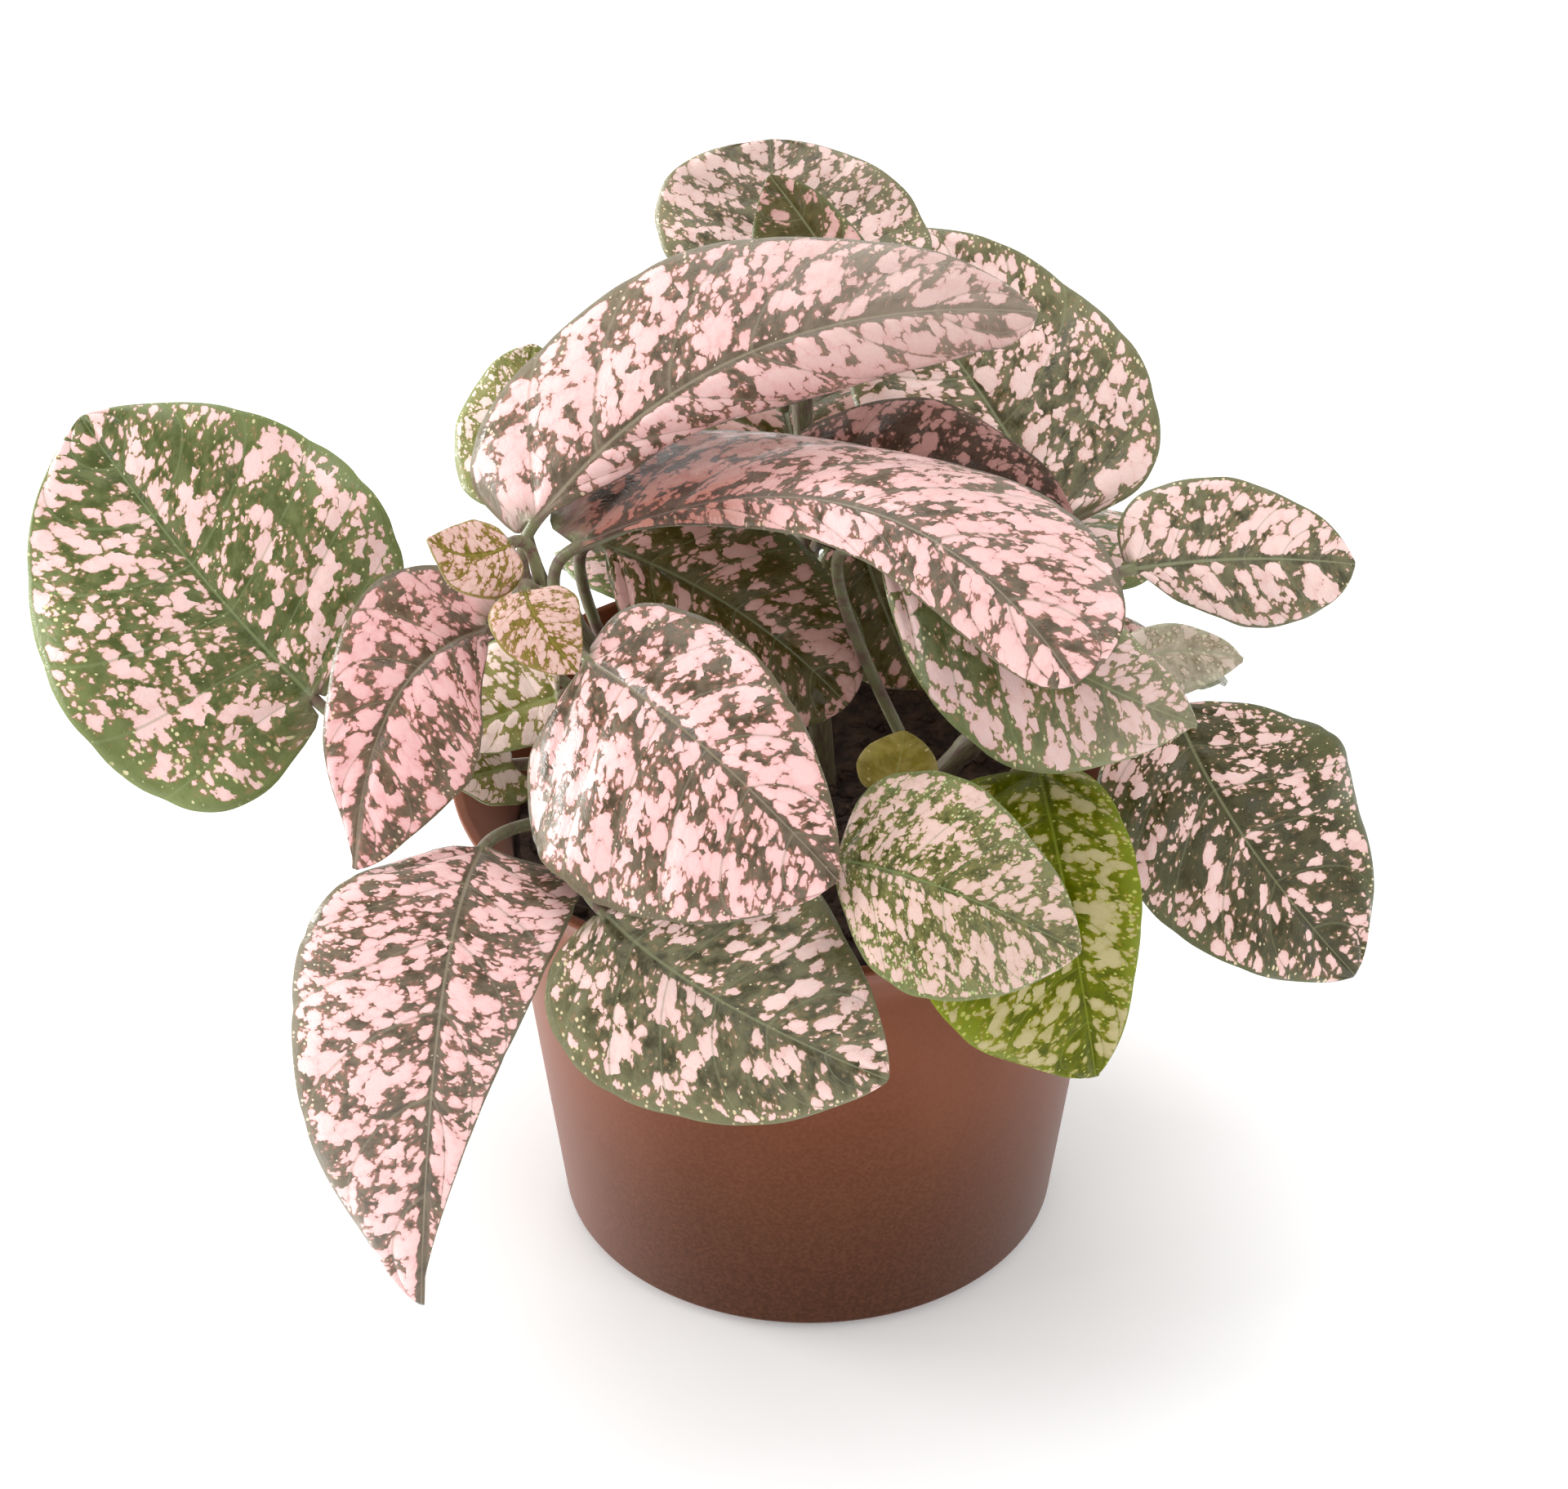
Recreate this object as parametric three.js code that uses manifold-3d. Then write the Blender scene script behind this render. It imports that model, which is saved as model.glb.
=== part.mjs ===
// Potted polka dot plant: a bushy house plant with pink-splashed leaves in a small brown plastic pot.
// Millimetres, +Z up, origin at the middle of the pot's underside. The photograph looks along +Y.

import * as THREE from 'three';
import { mergeGeometries, mergeVertices } from 'three/addons/utils/BufferGeometryUtils.js';
import Module from 'manifold-3d';

const wasm = await Module();
wasm.setup();

// Pot: a thin moulded nursery pot, 9 cm across its flared lip
const POT_HEIGHT = 67;
const POT_FOOT_RADIUS = 32;
const POT_WALL_SLOPE = 0.124;
const POT_FLARE_START = 58;
const POT_LIP_RADIUS = 45;
const POT_WALL = 1.3;
const POT_FLOOR = 2;
const POT_FOOT_ROUND = 1.6;
const POT_FLARE_HOLLOW = 0.6;
const POT_LIP_EDGE = 0.7;
const POT_SIDES = 48;
const DRAIN_COUNT = 5;
const DRAIN_RADIUS = 3;
const DRAIN_CIRCLE = 21;
const ROUND_HOLE_SIDES = 12;

// Potting soil: a plug with a lumpy top, a finger's width below the lip
const SOIL_TOP = 56;
const SOIL_EDGE_DROP = 1;
const SOIL_EDGE_ROUND = 0.5;
const SOIL_COARSE_LUMP = { height: 0.65, x: 0.23, y: 0.19 };
const SOIL_FINE_LUMP = { height: 0.45, x: 0.41, y: 0.7 };
const SOIL_SIDES = 32;
const SOIL_RINGS = 7;

// Clearance between pieces that touch on the real plant
const GAP = 0.3;

// Corners of a mesh closer than this are one corner
const MERGE_DISTANCE = 1e-4;

// Stems: each bends through three points, from its foot in the soil to its growing tip
const STEM_RADIUS = 1.5;
const STEM_SIDES = 8;
const STEM_STEPS = 9;
const STEM_DEPTH = 8;
const STEMS = {
  left: { foot: [-13, -8, 56], middle: [-23, -15, 83], top: [-34, -22, 106] },
  crown: { foot: [-7, 3, 56], middle: [-20, -1, 73], top: [-30, -6, 94] },
  back: { foot: [2, 12, 56], middle: [0, 15, 84], top: [-1, 20, 108] },
  right: { foot: [13, 3, 56], middle: [22, 0, 71], top: [36, -2, 82] },
  low: { foot: [8, -12, 56], middle: [18, -16, 66], top: [30, -18, 76] },
  front: { foot: [-9, -17, 56], middle: [-20, -22, 68], top: [-32, -26, 78] },
};

// Leaves: a petiole and a blade in one piece, 0.7 mm thick at the edge. The petiole is a flattened round
// that sweeps back from the rib's line by a share of its length. The rib stands out under the blade, and
// where the blade is narrower than the supple width it lies flat.
const BLADE_HALF_THICKNESS = 0.35;
const RIB_DEPTH = 0.45;
const PETIOLE_RADIUS = 0.75;
const TIP_HALF_WIDTH = 0.4;
const SUPPLE_WIDTH = 6;
const RIB_SPREAD = 3;
const PETIOLE_SWEEP = 0.45;
const PETIOLE_FLATTENING = 0.8;
const BLADE_ROWS = 10;
const PETIOLE_ROWS = 3;
const HALF_COLUMNS = 2;

// What a leaf has when its row below says nothing else.
// left and right: the slope of each half in degrees, beside the rib and at the edge, seen from the base.
// outline: how each half widens from the base and narrows to the tip, as two powers.
// lobe: how far each half reaches back past the base. fold: extra slope of both halves at the base.
// twist: turn from base to tip. wave: height of the edge's waves as a share of the width, their count
// and their start in degrees.
const PLAIN_LEAF = {
  left: [8, -12],
  right: [8, -12],
  outline: [[0.5, 0.75], [0.5, 0.75]],
  lobe: [3, 3],
  fold: 0,
  twist: 0,
  wave: [0.05, 2.5, 0],
};

// The leaves, from the left round to the right, then the rear of the plant.
// Each grows on a stem, at a share of its length. faces is where the middle of the blade looks,
// and wide gives the widths of its left and right halves.
const LEAVES = [
  {
    name: 'leaf_far_left', tone: 'mid', stem: 'left', at: 0.42,
    base: [-61, -6, 80], middle: [-76, 4, 93], tip: [-90, 16, 107],
    faces: [-0.1, -0.7, 0.7], wide: [24, 23], lobe: [17, 7],
    left: [10, -12], right: [14, -14], outline: [[0.58, 0.78], [0.5, 0.7]],
  },
  {
    name: 'leaf_curled', tone: 'dark', stem: 'left', at: 0.93,
    base: [-38, -22, 100], middle: [-48, -36, 99], tip: [-53, -42, 80],
    faces: [-0.35, -0.6, 0.6], wide: [12, 11], lobe: [0, 14],
    left: [-5, -50], right: [25, 10], outline: [[1, 0.75], [0.4, 1.1]],
  },
  {
    name: 'leaf_young_left', tone: 'young', stem: 'left', at: 0.95,
    base: [-35, -20.5, 111], middle: [-39.5, -24, 111.5], tip: [-44, -26, 115],
    faces: [0.1, -0.6, 0.8], wide: [5.5, 4.5], lobe: [1, 1],
  },
  {
    name: 'leaf_young_right', tone: 'young', stem: 'left', at: 0.95,
    base: [-33, -28, 109], middle: [-31, -32, 107], tip: [-27, -34, 102],
    faces: [0.1, -0.6, 0.8], wide: [5.5, 5.5], lobe: [1, 1],
  },
  {
    name: 'leaf_tucked_left', tone: 'lime', stem: 'left', at: 0.6,
    base: [-30, -18.5, 88.5], middle: [-37, -19, 86], tip: [-44, -21, 83.5],
    faces: [0, -0.6, 0.8], wide: [5, 9.5],
  },
  {
    name: 'leaf_in_pot_left', tone: 'dark', stem: 'front', at: 0.5,
    base: [-36, -18, 78], middle: [-39, -21, 79], tip: [-43, -25, 80.5],
    faces: [0, -0.6, 0.8], wide: [5, 5],
  },
  {
    name: 'leaf_hanging_left', tone: 'dark', stem: 'front', at: 1,
    base: [-38.4, -38, 80], middle: [-43, -52, 67], tip: [-48, -45, 16],
    faces: [-0.1, -0.9, 0.3], wide: [13.2, 18.5], lobe: [8, 3],
    left: [-5, -25], right: [10, -25], outline: [[0.45, 1.4], [0.85, 0.7]],
  },
  {
    name: 'leaf_front_centre', tone: 'dark', stem: 'left', at: 0.85,
    base: [-26, -24, 97], middle: [-12, -41, 96], tip: [3, -50, 84],
    faces: [0, -0.75, 0.6], wide: [12.6, 23], lobe: [12, 4],
    left: [15, -30], right: [8, -30], outline: [[0.6, 0.9], [0.35, 0.5]],
  },
  {
    name: 'leaf_front_low', tone: 'dark', stem: 'front', at: 0.6,
    base: [-24, -46.5, 77], middle: [-11, -51, 68], tip: [9, -51, 56],
    faces: [0, -0.85, 0.5], wide: [19, 16], lobe: [3, 4],
    left: [8, -15], right: [8, -10],
  },
  {
    name: 'leaf_crown', tone: 'dark', stem: 'crown', at: 1,
    base: [-33, -8, 106], middle: [-7, 0, 125], tip: [27, 6, 127],
    faces: [0.1, -0.5, 0.85], wide: [17, 10], lobe: [10, 4],
    left: [5, -15], right: [-15, -105], outline: [[0.4, 0.75], [1.1, 0.6]],
  },
  {
    name: 'leaf_crown_right', tone: 'dark', stem: 'crown', at: 0.96,
    base: [-28, -10, 104], middle: [5, -19, 115], tip: [30, -38, 103],
    faces: [0.2, -0.3, 0.9], wide: [22, 7.5], lobe: [8, 2], fold: 30, twist: 30,
    left: [-15, -30], right: [-10, -40], outline: [[0.34, 0.4], [1.3, 0.5]], wave: [0.2, 1, 90],
  },
  {
    name: 'leaf_shaded', tone: 'dark', stem: 'back', at: 0.8,
    base: [-3, 0, 104], middle: [16, 6, 106], tip: [33, 10, 95],
    faces: [0, -0.5, 0.85], wide: [9.5, 12],
  },
  {
    name: 'leaf_back_right', tone: 'dark', stem: 'right', at: 0.55,
    base: [31, 12, 94], middle: [20, 26, 107], tip: [6, 38, 121],
    faces: [0.1, -0.7, 0.7], wide: [16, 20], lobe: [3, 5],
    outline: [[0.5, 0.75], [0.45, 0.75]],
  },
  {
    name: 'leaf_back_top', tone: 'mid', stem: 'back', at: 0.95,
    base: [-3, 24, 112], middle: [-4, 36, 121], tip: [-5, 44, 131],
    faces: [0, -0.7, 0.7], wide: [15.3, 19.5],
    outline: [[0.8, 0.42], [0.5, 0.62]],
  },
  {
    name: 'leaf_back_small', tone: 'dark', stem: 'back', at: 1,
    base: [7, 18, 120], middle: [1, 26, 126], tip: [-5, 30, 133],
    faces: [0.1, -0.7, 0.7], wide: [9.5, 5],
  },
  {
    name: 'leaf_back_left', tone: 'lime', stem: 'crown', at: 0.8,
    base: [-35, 4, 102], middle: [-35, 14, 108], tip: [-34, 20, 115],
    faces: [-0.2, -0.7, 0.7], wide: [9, 10],
  },
  {
    name: 'leaf_right_inner', tone: 'mid', stem: 'low', at: 0.5,
    base: [8, -13, 104], middle: [28, -27, 99], tip: [45, -30, 92],
    faces: [0.1, -0.5, 0.8], wide: [11, 13.5], lobe: [0, 0],
    left: [5, -25], right: [0, -35], outline: [[0.5, 0.75], [1.1, 1.2]],
  },
  {
    name: 'leaf_far_right', tone: 'dark', stem: 'right', at: 0.95,
    base: [39, -2, 96], middle: [53, 2, 95], tip: [67, 4, 93],
    faces: [0, -0.7, 0.75], wide: [10.5, 9], lobe: [5, 0],
    left: [10, -5], right: [-20, -50], outline: [[0.5, 0.75], [1, 0.6]],
  },
  {
    name: 'leaf_pale', tone: 'pale', stem: 'right', at: 0.9,
    base: [39, 1, 80], middle: [46, 3, 81], tip: [54, 4, 79],
    faces: [0, -0.6, 0.8], wide: [3.8, 6],
  },
  {
    name: 'leaf_low_right', tone: 'dark', stem: 'low', at: 0.95,
    base: [44, -12, 83], middle: [52, -24, 72], tip: [67, -24, 51],
    faces: [0.25, -0.7, 0.6], wide: [18.2, 15], lobe: [4, 0],
    left: [5, -20], right: [5, -20], outline: [[0.7, 0.65], [0.5, 0.75]],
  },
  {
    name: 'leaf_lime', tone: 'lime', stem: 'low', at: 0.8,
    base: [27, -26, 83], middle: [30, -44, 75], tip: [34, -44, 51],
    faces: [0.1, -0.85, 0.4], wide: [9, 20],
    outline: [[0.5, 0.75], [0.5, 0.6]],
  },
  {
    name: 'leaf_front_green', tone: 'mid', stem: 'low', at: 0.25,
    base: [3, -43, 82], middle: [15, -50, 83], tip: [31, -50, 74],
    faces: [0, -0.7, 0.7], wide: [13, 12.8], lobe: [3, 0],
    outline: [[0.5, 0.75], [0.8, 0.75]],
  },
  {
    name: 'leaf_young_low', tone: 'young', stem: 'low', at: 0.55,
    base: [9.5, -24, 78], middle: [10.5, -24.5, 83], tip: [11, -23, 86.5],
    faces: [0, -0.7, 0.6], wide: [5, 5], lobe: [1, 1],
  },
  {
    name: 'leaf_centre', tone: 'dark', stem: 'crown', at: 0.7,
    base: [-25, 1, 97.5], middle: [-9, -6.5, 93], tip: [4.5, -11.5, 82.5],
    faces: [0, -0.6, 0.8], wide: [12, 14], lobe: [3, 0],
    outline: [[0.5, 0.5], [0.8, 0.6]],
  },
  {
    name: 'leaf_centre_dark', tone: 'dark', stem: 'back', at: 0.6,
    base: [6, 4, 97], middle: [10, -2, 88], tip: [14, -4, 80],
    faces: [-0.3, -0.6, 0.7], wide: [8, 9],
  },
  {
    name: 'leaf_rear_high', tone: 'dark', stem: 'back', at: 0.75,
    base: [-2, 29, 95], middle: [-5, 46, 97], tip: [-8, 64, 86],
    faces: [0, 0.5, 0.85], wide: [16, 17],
  },
  {
    name: 'leaf_rear_high_right', tone: 'dark', stem: 'back', at: 0.65,
    base: [12, 32, 92], middle: [22, 48, 92], tip: [34, 60, 78],
    faces: [0.3, 0.5, 0.8], wide: [15, 16],
  },
  {
    name: 'leaf_rear_high_left', tone: 'mid', stem: 'back', at: 0.6,
    base: [-14, 28, 94], middle: [-22, 40, 93], tip: [-30, 52, 80],
    faces: [-0.3, 0.5, 0.8], wide: [13, 12],
  },
  {
    name: 'leaf_rear_low', tone: 'dark', stem: 'back', at: 0.42,
    base: [7, 36, 75], middle: [11, 54, 76], tip: [14, 70, 59],
    faces: [0, 0.6, 0.8], wide: [15, 14],
  },
  {
    name: 'leaf_rear_low_left', tone: 'mid', stem: 'back', at: 0.32,
    base: [-15, 31, 70], middle: [-21, 46, 71], tip: [-26, 58, 54],
    faces: [-0.2, 0.6, 0.8], wide: [14, 13],
  },
  {
    name: 'leaf_rear_low_right', tone: 'mid', stem: 'right', at: 0.4,
    base: [30, 28, 76], middle: [38, 43, 77], tip: [45, 54, 64],
    faces: [0.4, 0.5, 0.8], wide: [13, 14],
  },
  {
    name: 'leaf_rear_right', tone: 'dark', stem: 'right', at: 0.7,
    base: [34, 10, 71], middle: [44, 18, 72], tip: [54, 28, 60],
    faces: [0.5, 0.3, 0.8], wide: [9, 10],
  },
  {
    name: 'leaf_rear_left', tone: 'dark', stem: 'crown', at: 0.3,
    base: [-34, 14, 72], middle: [-46, 20, 74], tip: [-58, 28, 62],
    faces: [-0.4, 0.2, 0.9], wide: [11, 11],
  },
];

// Colours and finish
const MATERIALS = {
  pot: { color: 0x8a5a50, roughness: 0.5, metalness: 0 },
  soil: { color: 0x3a2a22, roughness: 0.95, metalness: 0 },
  stem: { color: 0x6f6a4e, roughness: 0.6, metalness: 0 },
  dark: { color: 0x4a5540, roughness: 0.55, metalness: 0 },
  mid: { color: 0x5a733c, roughness: 0.55, metalness: 0 },
  lime: { color: 0x70881c, roughness: 0.5, metalness: 0 },
  pale: { color: 0x949c78, roughness: 0.6, metalness: 0 },
  young: { color: 0xa8a860, roughness: 0.5, metalness: 0 },
};

const plant = new THREE.Group();

function addPiece(name, geometry, materialName) {
  const material = new THREE.MeshStandardMaterial(MATERIALS[materialName]);
  const mesh = new THREE.Mesh(geometry, material);
  mesh.name = name;
  plant.add(mesh);
}

// Closed meshes and booleans
function mergedByPosition(geometry) {
  geometry.deleteAttribute('normal');
  geometry.deleteAttribute('uv');
  return mergeVertices(geometry, MERGE_DISTANCE);
}

function toSolid(geometry) {
  const merged = mergedByPosition(geometry);
  const vertProperties = new Float32Array(merged.attributes.position.array);
  const triVerts = new Uint32Array(merged.index.array);
  return new wasm.Manifold(new wasm.Mesh({ numProp: 3, vertProperties, triVerts }));
}

function toGeometry(solid) {
  const mesh = solid.getMesh();
  const geometry = new THREE.BufferGeometry();
  geometry.setAttribute('position', new THREE.BufferAttribute(mesh.vertProperties, 3));
  geometry.setIndex(new THREE.BufferAttribute(mesh.triVerts, 1));
  geometry.computeVertexNormals();
  return geometry;
}

function vector(point) {
  return new THREE.Vector3(...point);
}

// The bend that passes through three points, with the second at its middle
function bendThrough(start, middle, end) {
  const control = middle.clone().multiplyScalar(2).addScaledVector(start, -0.5).addScaledVector(end, -0.5);
  return new THREE.QuadraticBezierCurve3(start, control, end);
}

// Pot: one lathed wall, with drain holes through its floor
function potOuterRadius(z) {
  return POT_FOOT_RADIUS + POT_WALL_SLOPE * z;
}

function makePot() {
  const flareRadius = potOuterRadius(POT_FLARE_START);
  const flareMiddle = (flareRadius + POT_LIP_RADIUS) / 2 - POT_FLARE_HOLLOW;
  const flareMiddleHeight = (POT_FLARE_START + POT_HEIGHT) / 2;
  const innerFoot = potOuterRadius(POT_FLOOR) - POT_WALL;
  const profile = [
    [0, 0],
    [POT_FOOT_RADIUS - POT_FOOT_ROUND, 0],
    [POT_FOOT_RADIUS - 0.3 * POT_FOOT_ROUND, 0.3 * POT_FOOT_ROUND],
    [potOuterRadius(POT_FOOT_ROUND), POT_FOOT_ROUND],
    [flareRadius, POT_FLARE_START],
    [flareMiddle, flareMiddleHeight],
    [POT_LIP_RADIUS, POT_HEIGHT - POT_LIP_EDGE],
    [POT_LIP_RADIUS, POT_HEIGHT],
    [POT_LIP_RADIUS - POT_WALL, POT_HEIGHT],
    [flareMiddle - POT_WALL, flareMiddleHeight],
    [flareRadius - POT_WALL, POT_FLARE_START],
    [innerFoot, POT_FLOOR],
    [0, POT_FLOOR],
  ].map(([radius, z]) => new THREE.Vector2(radius, z));
  const shell = new THREE.LatheGeometry(profile, POT_SIDES);
  shell.rotateX(Math.PI / 2);
  let pot = toSolid(shell);
  for (let k = 0; k < DRAIN_COUNT; k += 1) {
    const angle = (2 * Math.PI * k) / DRAIN_COUNT;
    const drill = new THREE.CylinderGeometry(DRAIN_RADIUS, DRAIN_RADIUS, 4 * POT_FLOOR, ROUND_HOLE_SIDES);
    drill.rotateX(Math.PI / 2);
    drill.translate(DRAIN_CIRCLE * Math.cos(angle), DRAIN_CIRCLE * Math.sin(angle), POT_FLOOR / 2);
    pot = pot.subtract(toSolid(drill));
  }
  addPiece('pot', toGeometry(pot), 'pot');
}

// Stems: each runs straight down into its hole in the soil
function stemCurve(stem) {
  return bendThrough(vector(stem.foot), vector(stem.middle), vector(stem.top));
}

function stemGeometry(stem) {
  const curve = stemCurve(stem);
  const path = new THREE.CurvePath();
  const foot = vector(stem.foot);
  const start = foot.clone().addScaledVector(curve.getTangent(0), -STEM_DEPTH);
  path.add(new THREE.LineCurve3(start, foot));
  path.add(curve);
  const section = new THREE.Shape();
  section.absarc(0, 0, STEM_RADIUS, 0, 2 * Math.PI, false);
  return new THREE.ExtrudeGeometry(section, {
    curveSegments: STEM_SIDES,
    steps: STEM_STEPS,
    extrudePath: path,
  });
}

function makeStems() {
  for (const [name, stem] of Object.entries(STEMS)) {
    addPiece(`stem_${name}`, stemGeometry(stem), 'stem');
  }
}

// Soil: a lathed plug whose top is raised in lumps, with a plain hole for each stem
function soilHeight(x, y) {
  let height = SOIL_TOP;
  for (const lump of [SOIL_COARSE_LUMP, SOIL_FINE_LUMP]) {
    height += lump.height * Math.sin(lump.x * x + 1) * Math.cos(lump.y * y + lump.x * x);
  }
  return height;
}

function stemHole(stem) {
  const direction = stemCurve(stem).getTangent(0);
  const length = 2 * STEM_DEPTH + GAP;
  const hole = new THREE.CylinderGeometry(STEM_RADIUS + GAP, STEM_RADIUS + GAP, length, ROUND_HOLE_SIDES);
  hole.applyQuaternion(new THREE.Quaternion().setFromUnitVectors(new THREE.Vector3(0, 1, 0), direction));
  const centre = vector(stem.foot).addScaledVector(direction, -GAP / 2);
  hole.translate(centre.x, centre.y, centre.z);
  return toSolid(hole);
}

function makeSoil() {
  const clear = POT_WALL + GAP;
  const bottom = POT_FLOOR + GAP;
  const edgeTop = SOIL_TOP - SOIL_EDGE_DROP;
  const topRadius = potOuterRadius(edgeTop) - clear;
  const profile = [[0, bottom], [potOuterRadius(bottom) - clear, bottom], [topRadius, edgeTop]];
  for (let ring = SOIL_RINGS - 1; ring >= 0; ring -= 1) {
    profile.push([((topRadius - SOIL_EDGE_ROUND) * ring) / SOIL_RINGS, SOIL_TOP]);
  }
  const outline = profile.map(([radius, z]) => new THREE.Vector2(radius, z));
  const plug = new THREE.LatheGeometry(outline, SOIL_SIDES);
  plug.rotateX(Math.PI / 2);
  const position = plug.attributes.position;
  for (let k = 0; k < position.count; k += 1) {
    if (position.getZ(k) > edgeTop) {
      position.setZ(k, soilHeight(position.getX(k), position.getY(k)));
    }
  }
  let soil = toSolid(plug);
  for (const stem of Object.values(STEMS)) {
    soil = soil.subtract(stemHole(stem));
  }
  addPiece('soil', toGeometry(soil), 'soil');
}

// Leaf: the half width at u, from 0 at the base to 1 at the tip
function halfWidth(leaf, u, side) {
  const [rise, fall] = leaf.outline[side];
  const peak = (rise / (rise + fall)) ** rise * (fall / (rise + fall)) ** fall;
  return (leaf.wide[side] * u ** rise * (1 - u) ** fall) / peak;
}

// Leaf: the direction that a face looks in, square to the line it lies along
function squareTo(direction, along) {
  return direction.clone().addScaledVector(along, -direction.dot(along)).normalize();
}

// Leaf: the directions along, up from and across the blade at u. The face swings with the rib's bend.
function leafFrame(leaf, u) {
  const along = leaf.rib.getTangent(u);
  const middleAlong = leaf.rib.getTangent(0.5);
  const swing = new THREE.Quaternion().setFromUnitVectors(middleAlong, along);
  const up = squareTo(vector(leaf.faces), middleAlong).applyQuaternion(swing);
  up.applyAxisAngle(along, THREE.MathUtils.degToRad(leaf.twist * (u - 0.5)));
  return { along, up, across: new THREE.Vector3().crossVectors(along, up) };
}

// Leaf: a point of the blade, u along the rib and v across it from -1 to 1, raised along its face
function bladePoint(leaf, u, v, lift) {
  const side = v < 0 ? 0 : 1;
  const { along, up, across } = leafFrame(leaf, u);
  const share = Math.abs(v);
  const width = Math.max(halfWidth(leaf, u, side), u < 0.5 ? PETIOLE_RADIUS : TIP_HALF_WIDTH);
  const slopes = side === 0 ? leaf.left : leaf.right;
  const supple = Math.min(1, width / SUPPLE_WIDTH);
  const inner = THREE.MathUtils.degToRad(supple * (slopes[0] + leaf.fold * (1 - u) ** 2));
  const bend = THREE.MathUtils.degToRad(supple * (slopes[1] - slopes[0]));
  const slope = inner + bend * share;
  const out = (width * (Math.sin(slope) - Math.sin(inner))) / bend;
  const rise = (width * (Math.cos(inner) - Math.cos(slope))) / bend;
  const [height, count, start] = leaf.wave;
  const turn = 2 * Math.PI * count * u + THREE.MathUtils.degToRad(start) + 2 * side;
  const settled = Math.min(1, (2 * width) / leaf.wide[side]);
  const wave = height * leaf.wide[side] * Math.sin(turn) * share ** 2 * settled;
  const back = ((leaf.lobe[side] * width) / leaf.wide[side]) * share ** 2 * (1 - u) ** 2;
  const point = leaf.rib.getPoint(u);
  point.addScaledVector(across, Math.sign(v) * (out - lift * Math.sin(slope) * share));
  point.addScaledVector(up, rise + wave + lift * (1 - share + share * Math.cos(slope)));
  return point.addScaledVector(along, -back);
}

// Petiole: bends from the skin of its stem into the line of the rib
function petioleCurve(leaf) {
  const base = vector(leaf.base);
  const stem = stemCurve(STEMS[leaf.stem]);
  const root = stem.getPoint(leaf.at);
  const grain = stem.getTangent(leaf.at);
  const sweep = PETIOLE_SWEEP * base.distanceTo(root);
  const control = base.clone().addScaledVector(leaf.rib.getTangent(0), -sweep);
  const reach = control.clone().sub(root);
  const outward = squareTo(reach, grain);
  const lean = Math.sqrt(Math.max(0, 1 - (reach.dot(outward) / reach.length()) ** 2));
  const foot = root.addScaledVector(outward, STEM_RADIUS + GAP + PETIOLE_RADIUS * lean);
  return new THREE.QuadraticBezierCurve3(foot, control, base);
}

// Petiole: a point of its round, t along it and v across it
function petiolePoint(leaf, t, v, lift) {
  const along = leaf.petiole.getTangent(t);
  const side = squareTo(leaf.baseAcross, along);
  const face = new THREE.Vector3().crossVectors(side, along);
  const point = leaf.petiole.getPoint(t);
  return point.addScaledVector(side, PETIOLE_RADIUS * v).addScaledVector(face, lift);
}

// Leaf: its row of sizes, with the curves that they give
function fullLeaf(row) {
  const leaf = { ...PLAIN_LEAF, ...row };
  leaf.rib = bendThrough(vector(leaf.base), vector(leaf.middle), vector(leaf.tip));
  leaf.petiole = petioleCurve(leaf);
  leaf.baseAcross = leafFrame(leaf, 0).across;
  return leaf;
}

// Leaf surface: rows 0 to PETIOLE_ROWS follow the petiole, the rest the blade
function leafPoint(leaf, row, column, face) {
  const v = column / HALF_COLUMNS - 1;
  const round = PETIOLE_RADIUS * Math.sqrt(1 - PETIOLE_FLATTENING * v * v);
  if (row < PETIOLE_ROWS) {
    return petiolePoint(leaf, row / PETIOLE_ROWS, v, face * round);
  }
  const step = (row - PETIOLE_ROWS) / BLADE_ROWS;
  const u = 0.5 * step + 0.25 * (1 - Math.cos(Math.PI * step));
  const rib = face < 0 ? RIB_DEPTH * (1 - u) * Math.max(0, 1 - RIB_SPREAD * Math.abs(v)) : 0;
  const thick = BLADE_HALF_THICKNESS + rib;
  return bladePoint(leaf, u, v, face * (step === 0 ? Math.max(round, thick) : thick));
}

// One sheet of the leaf: the upper or the lower face, split into the same triangles
function leafSheet(leaf, face) {
  const rows = PETIOLE_ROWS + BLADE_ROWS;
  const columns = 2 * HALF_COLUMNS;
  const sheet = new THREE.PlaneGeometry(1, 1, columns, rows);
  const position = sheet.attributes.position;
  for (let k = 0; k < position.count; k += 1) {
    const row = Math.floor(k / (columns + 1));
    const column = k % (columns + 1);
    position.setXYZ(k, ...leafPoint(leaf, row, column, face).toArray());
  }
  if (face > 0) {
    turnOver(sheet);
  }
  return sheet;
}

function turnOver(geometry) {
  const index = geometry.index;
  for (let k = 0; k < index.count; k += 3) {
    const second = index.getX(k + 1);
    index.setX(k + 1, index.getX(k + 2));
    index.setX(k + 2, second);
  }
}

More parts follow.
